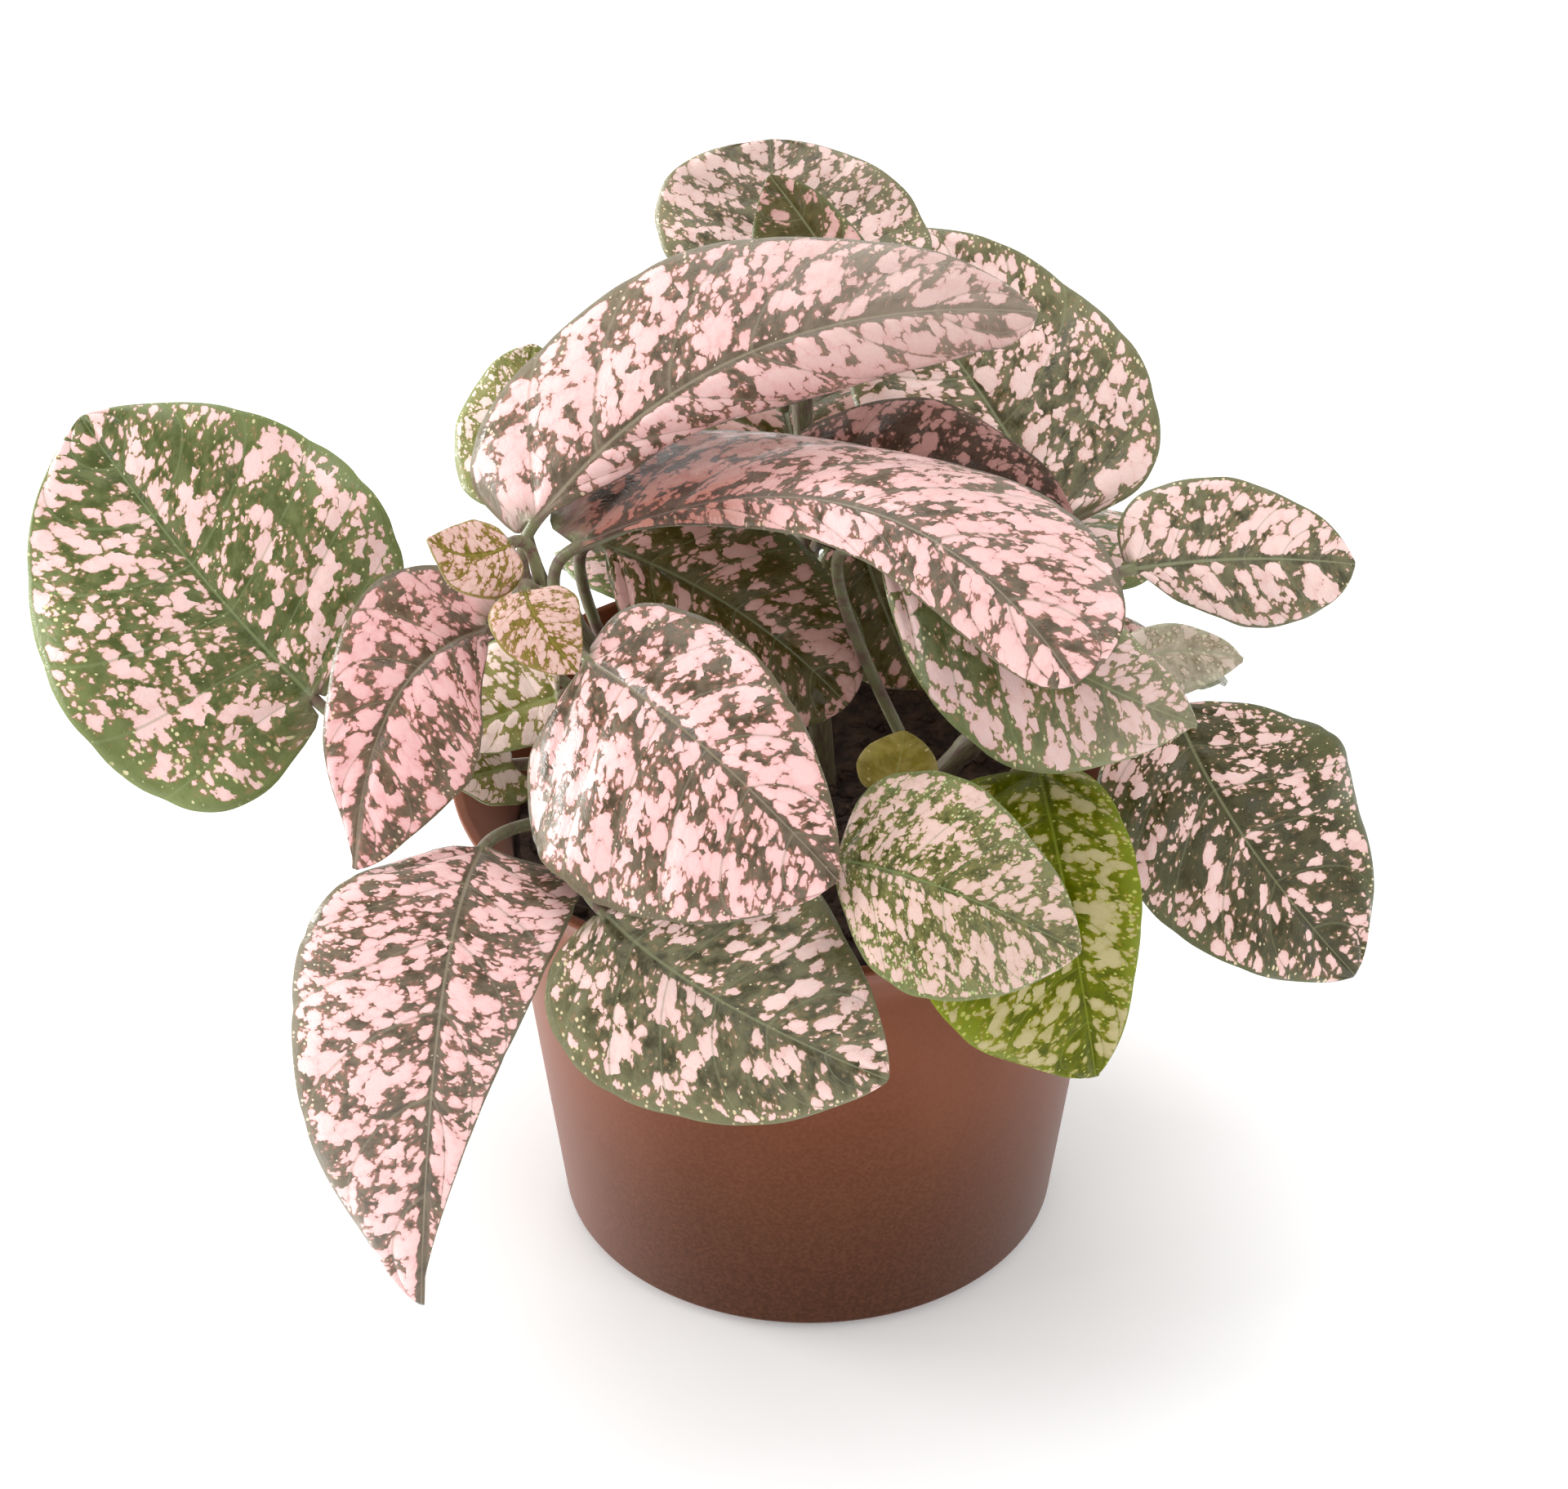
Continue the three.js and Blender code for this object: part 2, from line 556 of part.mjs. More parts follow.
// The thin edge that closes the two sheets, walked once round the leaf
function leafEdge(leaf) {
  const rows = PETIOLE_ROWS + BLADE_ROWS;
  const columns = 2 * HALF_COLUMNS;
  const walk = [];
  for (let column = 0; column < columns; column += 1) {
    walk.push([0, column]);
  }
  for (let row = 0; row < rows; row += 1) {
    walk.push([row, columns]);
  }
  for (let column = columns; column > 0; column -= 1) {
    walk.push([rows, column]);
  }
  for (let row = rows; row > 0; row -= 1) {
    walk.push([row, 0]);
  }
  const edge = new THREE.PlaneGeometry(1, 1, walk.length, 1);
  const position = edge.attributes.position;
  for (let k = 0; k < position.count; k += 1) {
    const [row, column] = walk[k % (walk.length + 1) % walk.length];
    const face = k <= walk.length ? 1 : -1;
    position.setXYZ(k, ...leafPoint(leaf, row, column, face).toArray());
  }
  return edge;
}

function makeLeaf(row) {
  const leaf = fullLeaf(row);
  const sheets = [leafSheet(leaf, 1), leafSheet(leaf, -1), leafEdge(leaf)];
  const geometry = mergedByPosition(mergeGeometries(sheets));
  geometry.computeVertexNormals();
  addPiece(leaf.name, geometry, leaf.tone);
}

makePot();
makeSoil();
makeStems();
LEAVES.forEach(makeLeaf);

export default plant;
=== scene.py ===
# %% [markdown]
# Potted polka dot plant
#
# The real object is a bushy little house plant in a thin brown nursery pot. Its leaves are dark green and
# splashed with pale pink, so most of this lesson is about leaves: how to shape one blade from a flat slab,
# how to give all of them veins, and how to paint the splashes without any picture. The construction model
# is loaded first. Every piece made here replaces one of its nodes and keeps that node's form and place.

import math

import bmesh
import bpy
import numpy as np
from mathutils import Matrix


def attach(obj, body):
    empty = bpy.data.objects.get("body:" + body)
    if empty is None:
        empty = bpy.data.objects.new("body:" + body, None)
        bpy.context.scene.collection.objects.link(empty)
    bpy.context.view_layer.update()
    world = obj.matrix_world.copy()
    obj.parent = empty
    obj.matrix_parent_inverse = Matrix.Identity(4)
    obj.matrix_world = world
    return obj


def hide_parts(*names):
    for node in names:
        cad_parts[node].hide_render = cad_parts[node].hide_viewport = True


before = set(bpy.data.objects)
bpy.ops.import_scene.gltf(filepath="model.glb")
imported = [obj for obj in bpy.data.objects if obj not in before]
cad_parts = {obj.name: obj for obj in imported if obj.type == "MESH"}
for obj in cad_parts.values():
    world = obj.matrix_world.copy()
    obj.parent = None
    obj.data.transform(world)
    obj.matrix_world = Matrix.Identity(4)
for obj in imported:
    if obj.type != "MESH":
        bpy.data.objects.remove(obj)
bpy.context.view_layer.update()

# %% [markdown]
# Units and colours
#
# Blender works in metres here. A leaf is easier to read in millimetres, so the sizes below are written in
# millimetres and multiplied by MM where a point is placed. Colours could be given as the linear light that
# shaders add and multiply, but nobody can picture those numbers. They are written as they look on a screen,
# from 0 to 255, and one helper turns them into linear light.

# %% Units and colours
MM = 0.001


def paint(red, green, blue):
    """A screen colour from 0 to 255 as linear light with full alpha."""
    linear = []
    for value in (red / 255, green / 255, blue / 255):
        linear.append(value / 12.92 if value <= 0.04045 else ((value + 0.055) / 1.055) ** 2.4)
    return (*linear, 1.0)


print("a mid grey of 128 is", round(paint(128, 128, 128)[0], 3), "in linear light")

# %% [markdown]
# Camera first
#
# The photograph looks down on the plant at about 34 degrees from 56 cm away. A camera could be nudged by hand
# until the picture fits, but then nobody knows why it stands there. Here the pot's rim and foot gave the
# angle and the distance, and the focal length follows from the pot's width in the picture. A camera object
# looks along its own -Z, so it is turned about X by the angle that is left up to the horizon.

# %% Camera
PHOTO_WIDTH = 1920
FOCAL_PIXELS = 5477
SENSOR_WIDTH = 36
CAMERA_DISTANCE = 560 * MM
CAMERA_ELEVATION = math.radians(34.08)
CAMERA_AIM = (-3.2 * MM, 0.0, 69.0 * MM)

camera_data = bpy.data.cameras.new("photo_camera")
camera_data.sensor_width = SENSOR_WIDTH
camera_data.lens = SENSOR_WIDTH * FOCAL_PIXELS / PHOTO_WIDTH
camera = bpy.data.objects.new("photo_camera", camera_data)
camera.location = (
    CAMERA_AIM[0],
    CAMERA_AIM[1] - CAMERA_DISTANCE * math.cos(CAMERA_ELEVATION),
    CAMERA_AIM[2] + CAMERA_DISTANCE * math.sin(CAMERA_ELEVATION),
)
camera.rotation_euler = (math.pi / 2 - CAMERA_ELEVATION, 0, 0)
bpy.context.scene.collection.objects.link(camera)
bpy.context.scene.camera = camera
print("lens", round(camera_data.lens, 1), "mm at", [round(c, 3) for c in camera.location])

# %% [markdown]
# Soft light
#
# The plant was photographed in soft studio light, which draws no hard shadows on the leaves. One small lamp
# would draw them, and an even sky alone would look flat. So a large panel overhead makes the shading, and
# weaker panels fill it from the front right, from behind and from the left. A low one behind the left side
# catches the edge of the pot, and a pale world lights what all of them miss.

# %% World and lights
WORLD_LIGHT = 0.72
LIGHTS = {
    "key": {"place": (-0.1, 0.2, 1.25), "size": 0.8, "power": 4.7},
    "fill": {"place": (0.8, -0.8, 0.7), "size": 0.8, "power": 2.8},
    "back": {"place": (-0.15, 0.9, 0.9), "size": 0.7, "power": 3.0},
    "left": {"place": (-0.9, -0.25, 0.2), "size": 0.4, "power": 2.5},
    "rim": {"place": (-1.0, 0.3, 0.1), "size": 0.5, "power": 13.0},
}


def aimed_light(name, place, size, power):
    """A square soft light that looks at the middle of the plant."""
    lamp = bpy.data.lights.new(name, "AREA")
    lamp.shape = "SQUARE"
    lamp.size = size
    lamp.energy = power
    light = bpy.data.objects.new(name, lamp)
    light.location = place
    towards = [aim - start for aim, start in zip(CAMERA_AIM, place)]
    flat = math.hypot(towards[0], towards[1])
    light.rotation_euler = (math.atan2(flat, -towards[2]), 0, math.atan2(-towards[0], towards[1]))
    bpy.context.scene.collection.objects.link(light)


world = bpy.data.worlds.new("pale_room")
world.use_nodes = True
world.node_tree.nodes["Background"].inputs["Color"].default_value = (1, 1, 1, 1)
world.node_tree.nodes["Background"].inputs["Strength"].default_value = WORLD_LIGHT
bpy.context.scene.world = world
bpy.context.scene.view_settings.view_transform = "Standard"
for light_name, light_row in LIGHTS.items():
    aimed_light(light_name, **light_row)
print("lights", list(LIGHTS))

# %% [markdown]
# Floor
#
# The photograph has no floor: the plant is cut out on white. A white paper sweep would hide the horizon, but
# the camera looks down steeply enough that a plain plane fills the picture. It glows a little, as a light
# table does, so that the shadow on it stays faint. It isn't part of the plant.

# %% Floor
FLOOR_SIZE = 6.0
FLOOR_WHITE = paint(252, 252, 252)
FLOOR_ROUGHNESS = 0.9
FLOOR_GLOW = 0.15


def make_floor():
    plane = bmesh.new()
    bmesh.ops.create_grid(plane, x_segments=1, y_segments=1, size=FLOOR_SIZE / 2)
    mesh = bpy.data.meshes.new("floor")
    plane.to_mesh(mesh)
    plane.free()
    floor = bpy.data.objects.new("floor", mesh)
    bpy.context.scene.collection.objects.link(floor)
    material = bpy.data.materials.new("floor_white")
    material.use_nodes = True
    shader = material.node_tree.nodes["Principled BSDF"]
    shader.inputs["Base Color"].default_value = FLOOR_WHITE
    shader.inputs["Roughness"].default_value = FLOOR_ROUGHNESS
    shader.inputs["Emission Color"].default_value = (1, 1, 1, 1)
    shader.inputs["Emission Strength"].default_value = FLOOR_GLOW
    mesh.materials.append(material)


make_floor()
print("a floor", FLOOR_SIZE, "m wide")

# %% [markdown]
# Where the stems grow
#
# Six soft stems come up out of the soil and lean apart. Each bends once on its way, so three points are
# enough to say where it runs: its foot, its middle and its tip. The construction model uses the same points.

# %% The stems' bends, in millimetres
STEMS = {
    "left": ((-13, -8, 56), (-23, -15, 83), (-34, -22, 106)),
    "crown": ((-7, 3, 56), (-20, -1, 73), (-30, -6, 94)),
    "back": ((2, 12, 56), (0, 15, 84), (-1, 20, 108)),
    "right": ((13, 3, 56), (22, 0, 71), (36, -2, 82)),
    "low": ((8, -12, 56), (18, -16, 66), (30, -18, 76)),
    "front": ((-9, -17, 56), (-20, -22, 68), (-32, -26, 78)),
}
print(len(STEMS), "stems")

# %% [markdown]
# Where the leaves grow
#
# The plant has 33 leaves, and no two have the same form. They could be sculpted one by one, but then they
# would share nothing. One row of numbers for each leaf and one function for all of them keep the leaves
# alike in kind, and a leaf is changed by changing its row.
#
# A leaf follows its midrib, which bends once between its base and its tip. Three points and one direction
# that the middle of the blade looks in say where it lies. The rest says how its two halves are shaped, as
# seen from the base: the slope beside the rib and at the edge, how far a lobe reaches back, how the outline
# widens and narrows, and how the edge waves. These rows were chosen one by one, and the construction model
# uses the same ones. Five values are for the paint alone: look names a shade that differs from the leaf's
# tone, pink says how richly it is splashed, fineness how small its splashes are, the fourth how strong a
# painted sheen is on its outer part, and the fifth how strongly painted shade browns the part near its base.

# %% The leaves' rows, in millimetres
# The last two plain values set a painted sheen on the outer part and a painted shade near the base.
PLAIN_LEAF = dict(
    left=(8, -12), right=(8, -12), outline=((0.5, 0.75), (0.5, 0.75)), lobe=(3, 3),
    fold=0, twist=0, wave=(0.05, 2.5, 0), look=None, pink=0.58, fineness=1, painted_sheen=0, painted_shade=0,
)

LEAVES = [
    dict(
        name="leaf_far_left", tone="mid", stem="left", at=0.42, base=(-61, -6, 80),
        middle=(-76, 4, 93), tip=(-90, 16, 107), faces=(-0.1, -0.7, 0.7), wide=(24, 23),
        lobe=(17, 7), left=(10, -12), right=(14, -14), outline=((0.58, 0.78), (0.5, 0.7)),
        pink=0.56,
    ),
    dict(
        name="leaf_curled", tone="dark", stem="left", at=0.93, base=(-38, -22, 100),
        middle=(-48, -36, 99), tip=(-53, -42, 80), faces=(-0.35, -0.6, 0.6), wide=(12, 11),
        lobe=(0, 14), left=(-5, -50), right=(25, 10), outline=((1, 0.75), (0.4, 1.1)), look="ruddy",
        pink=0.7,
    ),
    dict(
        name="leaf_young_left", tone="young", stem="left", at=0.95, base=(-35, -20.5, 111),
        middle=(-39.5, -24, 111.5), tip=(-44, -26, 115), faces=(0.1, -0.6, 0.8), wide=(5.5, 4.5),
        lobe=(1, 1), look="amber", pink=0.76, fineness=2.4,
    ),
    dict(
        name="leaf_young_right", tone="young", stem="left", at=0.95, base=(-33, -28, 109),
        middle=(-31, -32, 107), tip=(-27, -34, 102), faces=(0.1, -0.6, 0.8), wide=(5.5, 5.5),
        lobe=(1, 1), look="amber", pink=0.76, fineness=2.4,
    ),
    dict(
        name="leaf_tucked_left", tone="lime", stem="left", at=0.6, base=(-30, -18.5, 88.5),
        middle=(-37, -19, 86), tip=(-44, -21, 83.5), faces=(0, -0.6, 0.8), wide=(5, 9.5),
        look="fresh", pink=0.7,
    ),
    dict(
        name="leaf_in_pot_left", tone="dark", stem="front", at=0.5, base=(-36, -18, 78),
        middle=(-39, -21, 79), tip=(-43, -25, 80.5), faces=(0, -0.6, 0.8), wide=(5, 5),
        look="fresh", pink=0.62,
    ),
    dict(
        name="leaf_hanging_left", tone="dark", stem="front", at=1, base=(-38.4, -38, 80),
        middle=(-43, -52, 67), tip=(-48, -45, 16), faces=(-0.1, -0.9, 0.3), wide=(13.2, 18.5),
        lobe=(8, 3), left=(-5, -25), right=(10, -25), outline=((0.45, 1.4), (0.85, 0.7)), pink=0.66,
    ),
    dict(
        name="leaf_front_centre", tone="dark", stem="left", at=0.85, base=(-26, -24, 97),
        middle=(-12, -41, 96), tip=(3, -50, 84), faces=(0, -0.75, 0.6), wide=(12.6, 23),
        lobe=(12, 4), left=(15, -30), right=(8, -30), outline=((0.6, 0.9), (0.35, 0.5)), pink=0.67,
    ),
    dict(
        name="leaf_front_low", tone="dark", stem="front", at=0.6, base=(-24, -46.5, 77),
        middle=(-11, -51, 68), tip=(9, -51, 56), faces=(0, -0.85, 0.5), wide=(19, 16),
        lobe=(3, 4), left=(8, -15), right=(8, -10), look="olive", pink=0.49,
    ),
    dict(
        name="leaf_crown", tone="dark", stem="crown", at=1, base=(-33, -8, 106),
        middle=(-7, 0, 125), tip=(27, 6, 127), faces=(0.1, -0.5, 0.85), wide=(17, 10),
        lobe=(10, 4), left=(5, -15), right=(-15, -105), outline=((0.4, 0.75), (1.1, 0.6)),
        pink=0.71, painted_sheen=0.42,
    ),
    # The crown leaf shades this one, so its base gets painted shade.
    dict(
        name="leaf_crown_right", tone="dark", stem="crown", at=0.96, base=(-28, -10, 104),
        middle=(5, -19, 115), tip=(30, -38, 103), faces=(0.2, -0.3, 0.9), wide=(22, 7.5),
        lobe=(8, 2), fold=30, twist=30, left=(-15, -30), right=(-10, -40),
        outline=((0.34, 0.4), (1.3, 0.5)), wave=(0.2, 1, 90), pink=0.74, painted_sheen=0.08, painted_shade=0.9,
    ),
    # This leaf lies in the crown leaf's shadow, and its tone is painted shade.
    dict(
        name="leaf_shaded", tone="dark", stem="back", at=0.8, base=(-3, 0, 104),
        middle=(16, 6, 106), tip=(33, 10, 95), faces=(0, -0.5, 0.85), wide=(9.5, 12), look="umber",
        pink=0.62,
    ),
    dict(
        name="leaf_back_right", tone="dark", stem="right", at=0.55, base=(31, 12, 94),
        middle=(20, 26, 107), tip=(6, 38, 121), faces=(0.1, -0.7, 0.7), wide=(16, 20),
        lobe=(3, 5), outline=((0.5, 0.75), (0.45, 0.75)), look="olive", pink=0.6,
    ),
    dict(
        name="leaf_back_top", tone="mid", stem="back", at=0.95, base=(-3, 24, 112),
        middle=(-4, 36, 121), tip=(-5, 44, 131), faces=(0, -0.7, 0.7), wide=(15.3, 19.5),
        outline=((0.8, 0.42), (0.5, 0.62)), look="olive", pink=0.62, fineness=1.35, painted_sheen=0.2,
    ),
    dict(
        name="leaf_back_small", tone="dark", stem="back", at=1, base=(7, 18, 120),
        middle=(1, 26, 126), tip=(-5, 30, 133), faces=(0.1, -0.7, 0.7), wide=(9.5, 5), look="deep",
        pink=0.45,
    ),
    dict(
        name="leaf_back_left", tone="lime", stem="crown", at=0.8, base=(-35, 4, 102),
        middle=(-35, 14, 108), tip=(-34, 20, 115), faces=(-0.2, -0.7, 0.7), wide=(9, 10),
        look="fresh", pink=0.55, fineness=1.7,
    ),
    dict(
        name="leaf_right_inner", tone="mid", stem="low", at=0.5, base=(8, -13, 104),
        middle=(28, -27, 99), tip=(45, -30, 92), faces=(0.1, -0.5, 0.8), wide=(11, 13.5),
        lobe=(0, 0), left=(5, -25), right=(0, -35), outline=((0.5, 0.75), (1.1, 1.2)), pink=0.6,
        painted_sheen=0.35,
    ),
    dict(
        name="leaf_far_right", tone="dark", stem="right", at=0.95, base=(39, -2, 96),
        middle=(53, 2, 95), tip=(67, 4, 93), faces=(0, -0.7, 0.75), wide=(10.5, 9), lobe=(5, 0),
        left=(10, -5), right=(-20, -50), outline=((0.5, 0.75), (1, 0.6)), look="olive", pink=0.7,
    ),
    dict(
        name="leaf_pale", tone="pale", stem="right", at=0.9, base=(39, 1, 80),
        middle=(46, 3, 81), tip=(54, 4, 79), faces=(0, -0.6, 0.8), wide=(3.8, 6), pink=0.5,
    ),
    dict(
        name="leaf_low_right", tone="dark", stem="low", at=0.95, base=(44, -12, 83),
        middle=(52, -24, 72), tip=(67, -24, 51), faces=(0.25, -0.7, 0.6), wide=(18.2, 15),
        lobe=(4, 0), left=(5, -20), right=(5, -20), outline=((0.7, 0.65), (0.5, 0.75)),
        look="night", pink=0.49,
    ),
    dict(
        name="leaf_lime", tone="lime", stem="low", at=0.8, base=(27, -26, 83),
        middle=(30, -44, 75), tip=(34, -44, 51), faces=(0.1, -0.85, 0.4), wide=(9, 20),
        outline=((0.5, 0.75), (0.5, 0.6)), pink=0.5,
    ),
    dict(
        name="leaf_front_green", tone="mid", stem="low", at=0.25, base=(3, -43, 82),
        middle=(15, -50, 83), tip=(31, -50, 74), faces=(0, -0.7, 0.7), wide=(13, 12.8),
        lobe=(3, 0), outline=((0.5, 0.75), (0.8, 0.75)), look="hazy", pink=0.6, fineness=1.6,
        painted_sheen=0.15,
    ),
    dict(
        name="leaf_young_low", tone="young", stem="low", at=0.55, base=(9.5, -24, 78),
        middle=(10.5, -24.5, 83), tip=(11, -23, 86.5), faces=(0, -0.7, 0.6), wide=(5, 5),
        lobe=(1, 1), pink=-2,
    ),
    dict(
        name="leaf_centre", tone="dark", stem="crown", at=0.7, base=(-25, 1, 97.5),
        middle=(-9, -6.5, 93), tip=(4.5, -11.5, 82.5), faces=(0, -0.6, 0.8), wide=(12, 14),
        lobe=(3, 0), outline=((0.5, 0.5), (0.8, 0.6)), look="deep", pink=0.52,
    ),
    dict(
        name="leaf_centre_dark", tone="dark", stem="back", at=0.6, base=(6, 4, 97),
        middle=(10, -2, 88), tip=(14, -4, 80), faces=(-0.3, -0.6, 0.7), wide=(8, 9), look="deep",
        pink=0.4,
    ),
    dict(
        name="leaf_rear_high", tone="dark", stem="back", at=0.75, base=(-2, 29, 95),
        middle=(-5, 46, 97), tip=(-8, 64, 86), faces=(0, 0.5, 0.85), wide=(16, 17), look="deep",
    ),
    dict(
        name="leaf_rear_high_right", tone="dark", stem="back", at=0.65, base=(12, 32, 92),
        middle=(22, 48, 92), tip=(34, 60, 78), faces=(0.3, 0.5, 0.8), wide=(15, 16),
    ),
    dict(
        name="leaf_rear_high_left", tone="mid", stem="back", at=0.6, base=(-14, 28, 94),
        middle=(-22, 40, 93), tip=(-30, 52, 80), faces=(-0.3, 0.5, 0.8), wide=(13, 12),
    ),
    dict(
        name="leaf_rear_low", tone="dark", stem="back", at=0.42, base=(7, 36, 75),
        middle=(11, 54, 76), tip=(14, 70, 59), faces=(0, 0.6, 0.8), wide=(15, 14), look="deep",
    ),
    dict(
        name="leaf_rear_low_left", tone="mid", stem="back", at=0.32, base=(-15, 31, 70),
        middle=(-21, 46, 71), tip=(-26, 58, 54), faces=(-0.2, 0.6, 0.8), wide=(14, 13),
    ),
    dict(
        name="leaf_rear_low_right", tone="mid", stem="right", at=0.4, base=(30, 28, 76),
        middle=(38, 43, 77), tip=(45, 54, 64), faces=(0.4, 0.5, 0.8), wide=(13, 14),
    ),
    dict(
        name="leaf_rear_right", tone="dark", stem="right", at=0.7, base=(34, 10, 71),
        middle=(44, 18, 72), tip=(54, 28, 60), faces=(0.5, 0.3, 0.8), wide=(9, 10), look="deep",
    ),
    dict(
        name="leaf_rear_left", tone="dark", stem="crown", at=0.3, base=(-34, 14, 72),
        middle=(-46, 20, 74), tip=(-58, 28, 62), faces=(-0.4, 0.2, 0.9), wide=(11, 11),
    ),
]
print(len(LEAVES), "leaves on", len({row["stem"] for row in LEAVES}), "stems")

# %% [markdown]
# Curves
#
# A stem or a midrib bends gently and only once. It could be a curve object, but then its points would have
# to be read back before a blade can lie on it. A bend through three points is the simplest curve that does
# the same: a quadratic Bezier, whose control point is worked out from the middle point. All the points of a
# piece are computed at once, as rows of one array, which keeps the script quick.


# %% Bends and directions
def bend_through(start, middle, end):
    """The three control points of the bend that passes through middle half way."""
    start, middle, end = (np.array(point, float) * MM for point in (start, middle, end))
    return start, 2 * middle - 0.5 * (start + end), end


def bend_point(bend, t):
    t = np.asarray(t, float).reshape(-1, 1)
    return (1 - t) ** 2 * bend[0] + 2 * t * (1 - t) * bend[1] + t ** 2 * bend[2]


def unit(vectors):
    return vectors / np.linalg.norm(vectors, axis=-1, keepdims=True)


def bend_direction(bend, t):
    t = np.asarray(t, float).reshape(-1, 1)
    return unit((1 - t) * (bend[1] - bend[0]) + t * (bend[2] - bend[1]))


def dot(a, b):
    return (a * b).sum(axis=-1, keepdims=True)


def square_to(direction, along):
    """direction with the part of it that runs along taken off."""
    return unit(direction - dot(direction, along) * along)


print("a test bend's middle", bend_point(bend_through((0, 0, 0), (5, 0, 5), (10, 0, 0)), 0.5)[0] / MM)

# %% [markdown]
# The midrib and the outline
#
# A real blade is stretched between its midrib and its rim. A point of it has a place u along the midrib,
# from 0 at the base to 1 at the tip, and a place v across it, from -1 at the left edge to 1 at the right. The
# outline could be drawn point by point. Here each half is a product of two powers, u ** rise and
# (1 - u) ** fall, because two numbers are enough to turn a round leaf into a slender or a pointed one.


# %% A leaf's directions and its half width
def leaf_frame(leaf, u):
    """The directions along, up from and across the blade. The face swings with the rib's bend."""
    along = bend_direction(leaf["rib"], u)
    middle = bend_direction(leaf["rib"], 0.5)
    looks = square_to(np.array(leaf["faces"], float), middle)
    halfway = middle + along
    up = looks - dot(halfway, looks) / (1 + dot(middle, along)) * halfway
    turn = np.radians(leaf["twist"] * (np.asarray(u, float).reshape(-1, 1) - 0.5))
    up = unit(up * np.cos(turn) + np.cross(along, up) * np.sin(turn))
    return along, up, np.cross(along, up)


def half_width(leaf, u, side):
    """The half width at u in metres, one side number (0 left, 1 right) for each u."""
    rise, fall = np.array(leaf["outline"], float)[side].T
    peak = (rise / (rise + fall)) ** rise * (fall / (rise + fall)) ** fall
    return np.array(leaf["wide"], float)[side] * MM * u ** rise * (1 - u) ** fall / peak


first_leaf = {**PLAIN_LEAF, **LEAVES[0]}
first_width = half_width(first_leaf, np.array([0.5, 0.5]), np.array([0, 1]))
print("the first leaf reaches", first_width / MM, "mm to the left and right of its middle")

# %% [markdown]
# The petiole
#
# A petiole is the leaf's own stalk. It springs from the skin of its stem and runs into the midrib without a
# kink. It could be a tube of its own, but on the plant stalk and blade are one, so one mesh will follow both.
# Only its bend is worked out here. Its foot keeps a small gap to the stem's skin, as in the construction
# model, on the side of the stem that the leaf grows from.

# %% The petiole's bend
STEM_RADIUS = 1.5 * MM
SEAT_GAP = 0.3 * MM
PETIOLE_RADIUS = 0.75 * MM
PETIOLE_SWEEP = 0.45
LENGTH_POINTS = 20


def petiole_bend(leaf):
    """From the skin of its stem into the line of the rib."""
    stem = bend_through(*STEMS[leaf["stem"]])
    base = leaf["rib"][0]
    root = bend_point(stem, leaf["at"])[0]
    grain = bend_direction(stem, leaf["at"])[0]
    sweep = PETIOLE_SWEEP * np.linalg.norm(base - root)
    control = base - bend_direction(leaf["rib"], 0)[0] * sweep
    reach = control - root
    outward = square_to(reach, grain)
    lean = math.sqrt(max(0.0, 1 - (reach @ outward / np.linalg.norm(reach)) ** 2))
    foot = root + outward * (STEM_RADIUS + SEAT_GAP + PETIOLE_RADIUS * lean)
    return foot, control, base


def full_leaf(row):
    """A leaf's row with the plain values filled in and its two curves worked out."""
    leaf = {**PLAIN_LEAF, **row}
    leaf["rib"] = bend_through(leaf["base"], leaf["middle"], leaf["tip"])
    steps = np.diff(bend_point(leaf["rib"], np.linspace(0, 1, LENGTH_POINTS)), axis=0)
    leaf["length"] = np.linalg.norm(steps, axis=1).sum()
    leaf["petiole"] = petiole_bend(leaf)
    leaf["base_across"] = leaf_frame(leaf, 0.0)[2][0]
    return leaf


leaf_list = [full_leaf(row) for row in LEAVES]
print("lengths in mm", [round(leaf["length"] / MM) for leaf in leaf_list])

# %% [markdown]
# Veins and pillows as a height map
#
# Between its side veins a real blade swells into soft pillows, and a channel runs along its midrib. Bump in
# the material could fake them, but the highlights and the rim would stay flat, so they belong to the shape.
# A side vein leaves the midrib and sweeps forward to the edge. So the number s = u - sweep * |v| ** curve
# stays the same along one vein, and counting s in vein pairs gives a phase: whole numbers lie on veins, and
# halves lie in the middle of the pillows. The same phase later steers the colours.

# %% Relief of the blade
VEIN_PAIRS = 6
VEIN_SWEEP = 0.26
VEIN_CURVE = 1.35
VEIN_LEAN = 0.8
VEIN_DEPTH = 0.17 * MM
VEIN_WIDTH = 0.55 * MM
PILLOW_HEIGHT = 0.42 * MM
PILLOW_ROUNDNESS = 0.8
CHANNEL_DEPTH = 0.16 * MM
CHANNEL_WIDTH = 0.5 * MM
RELIEF_STARTS = 0.16
RELIEF_FADES = 0.8
RELIEF_WIDTH = 5 * MM
GROWN_WIDTH = 16


def smooth_step(low, high, value):
    t = np.clip((value - low) / (high - low), 0, 1)
    return t * t * (3 - 2 * t)


def vein_phase(u, v):
    return VEIN_PAIRS * (u - VEIN_SWEEP * np.abs(v) ** VEIN_CURVE)


def vein_distance(leaf, u, v):
    phase = vein_phase(u, v)
    spacing = leaf["length"] / VEIN_PAIRS
    return np.abs(phase - np.round(phase)) * spacing * VEIN_LEAN


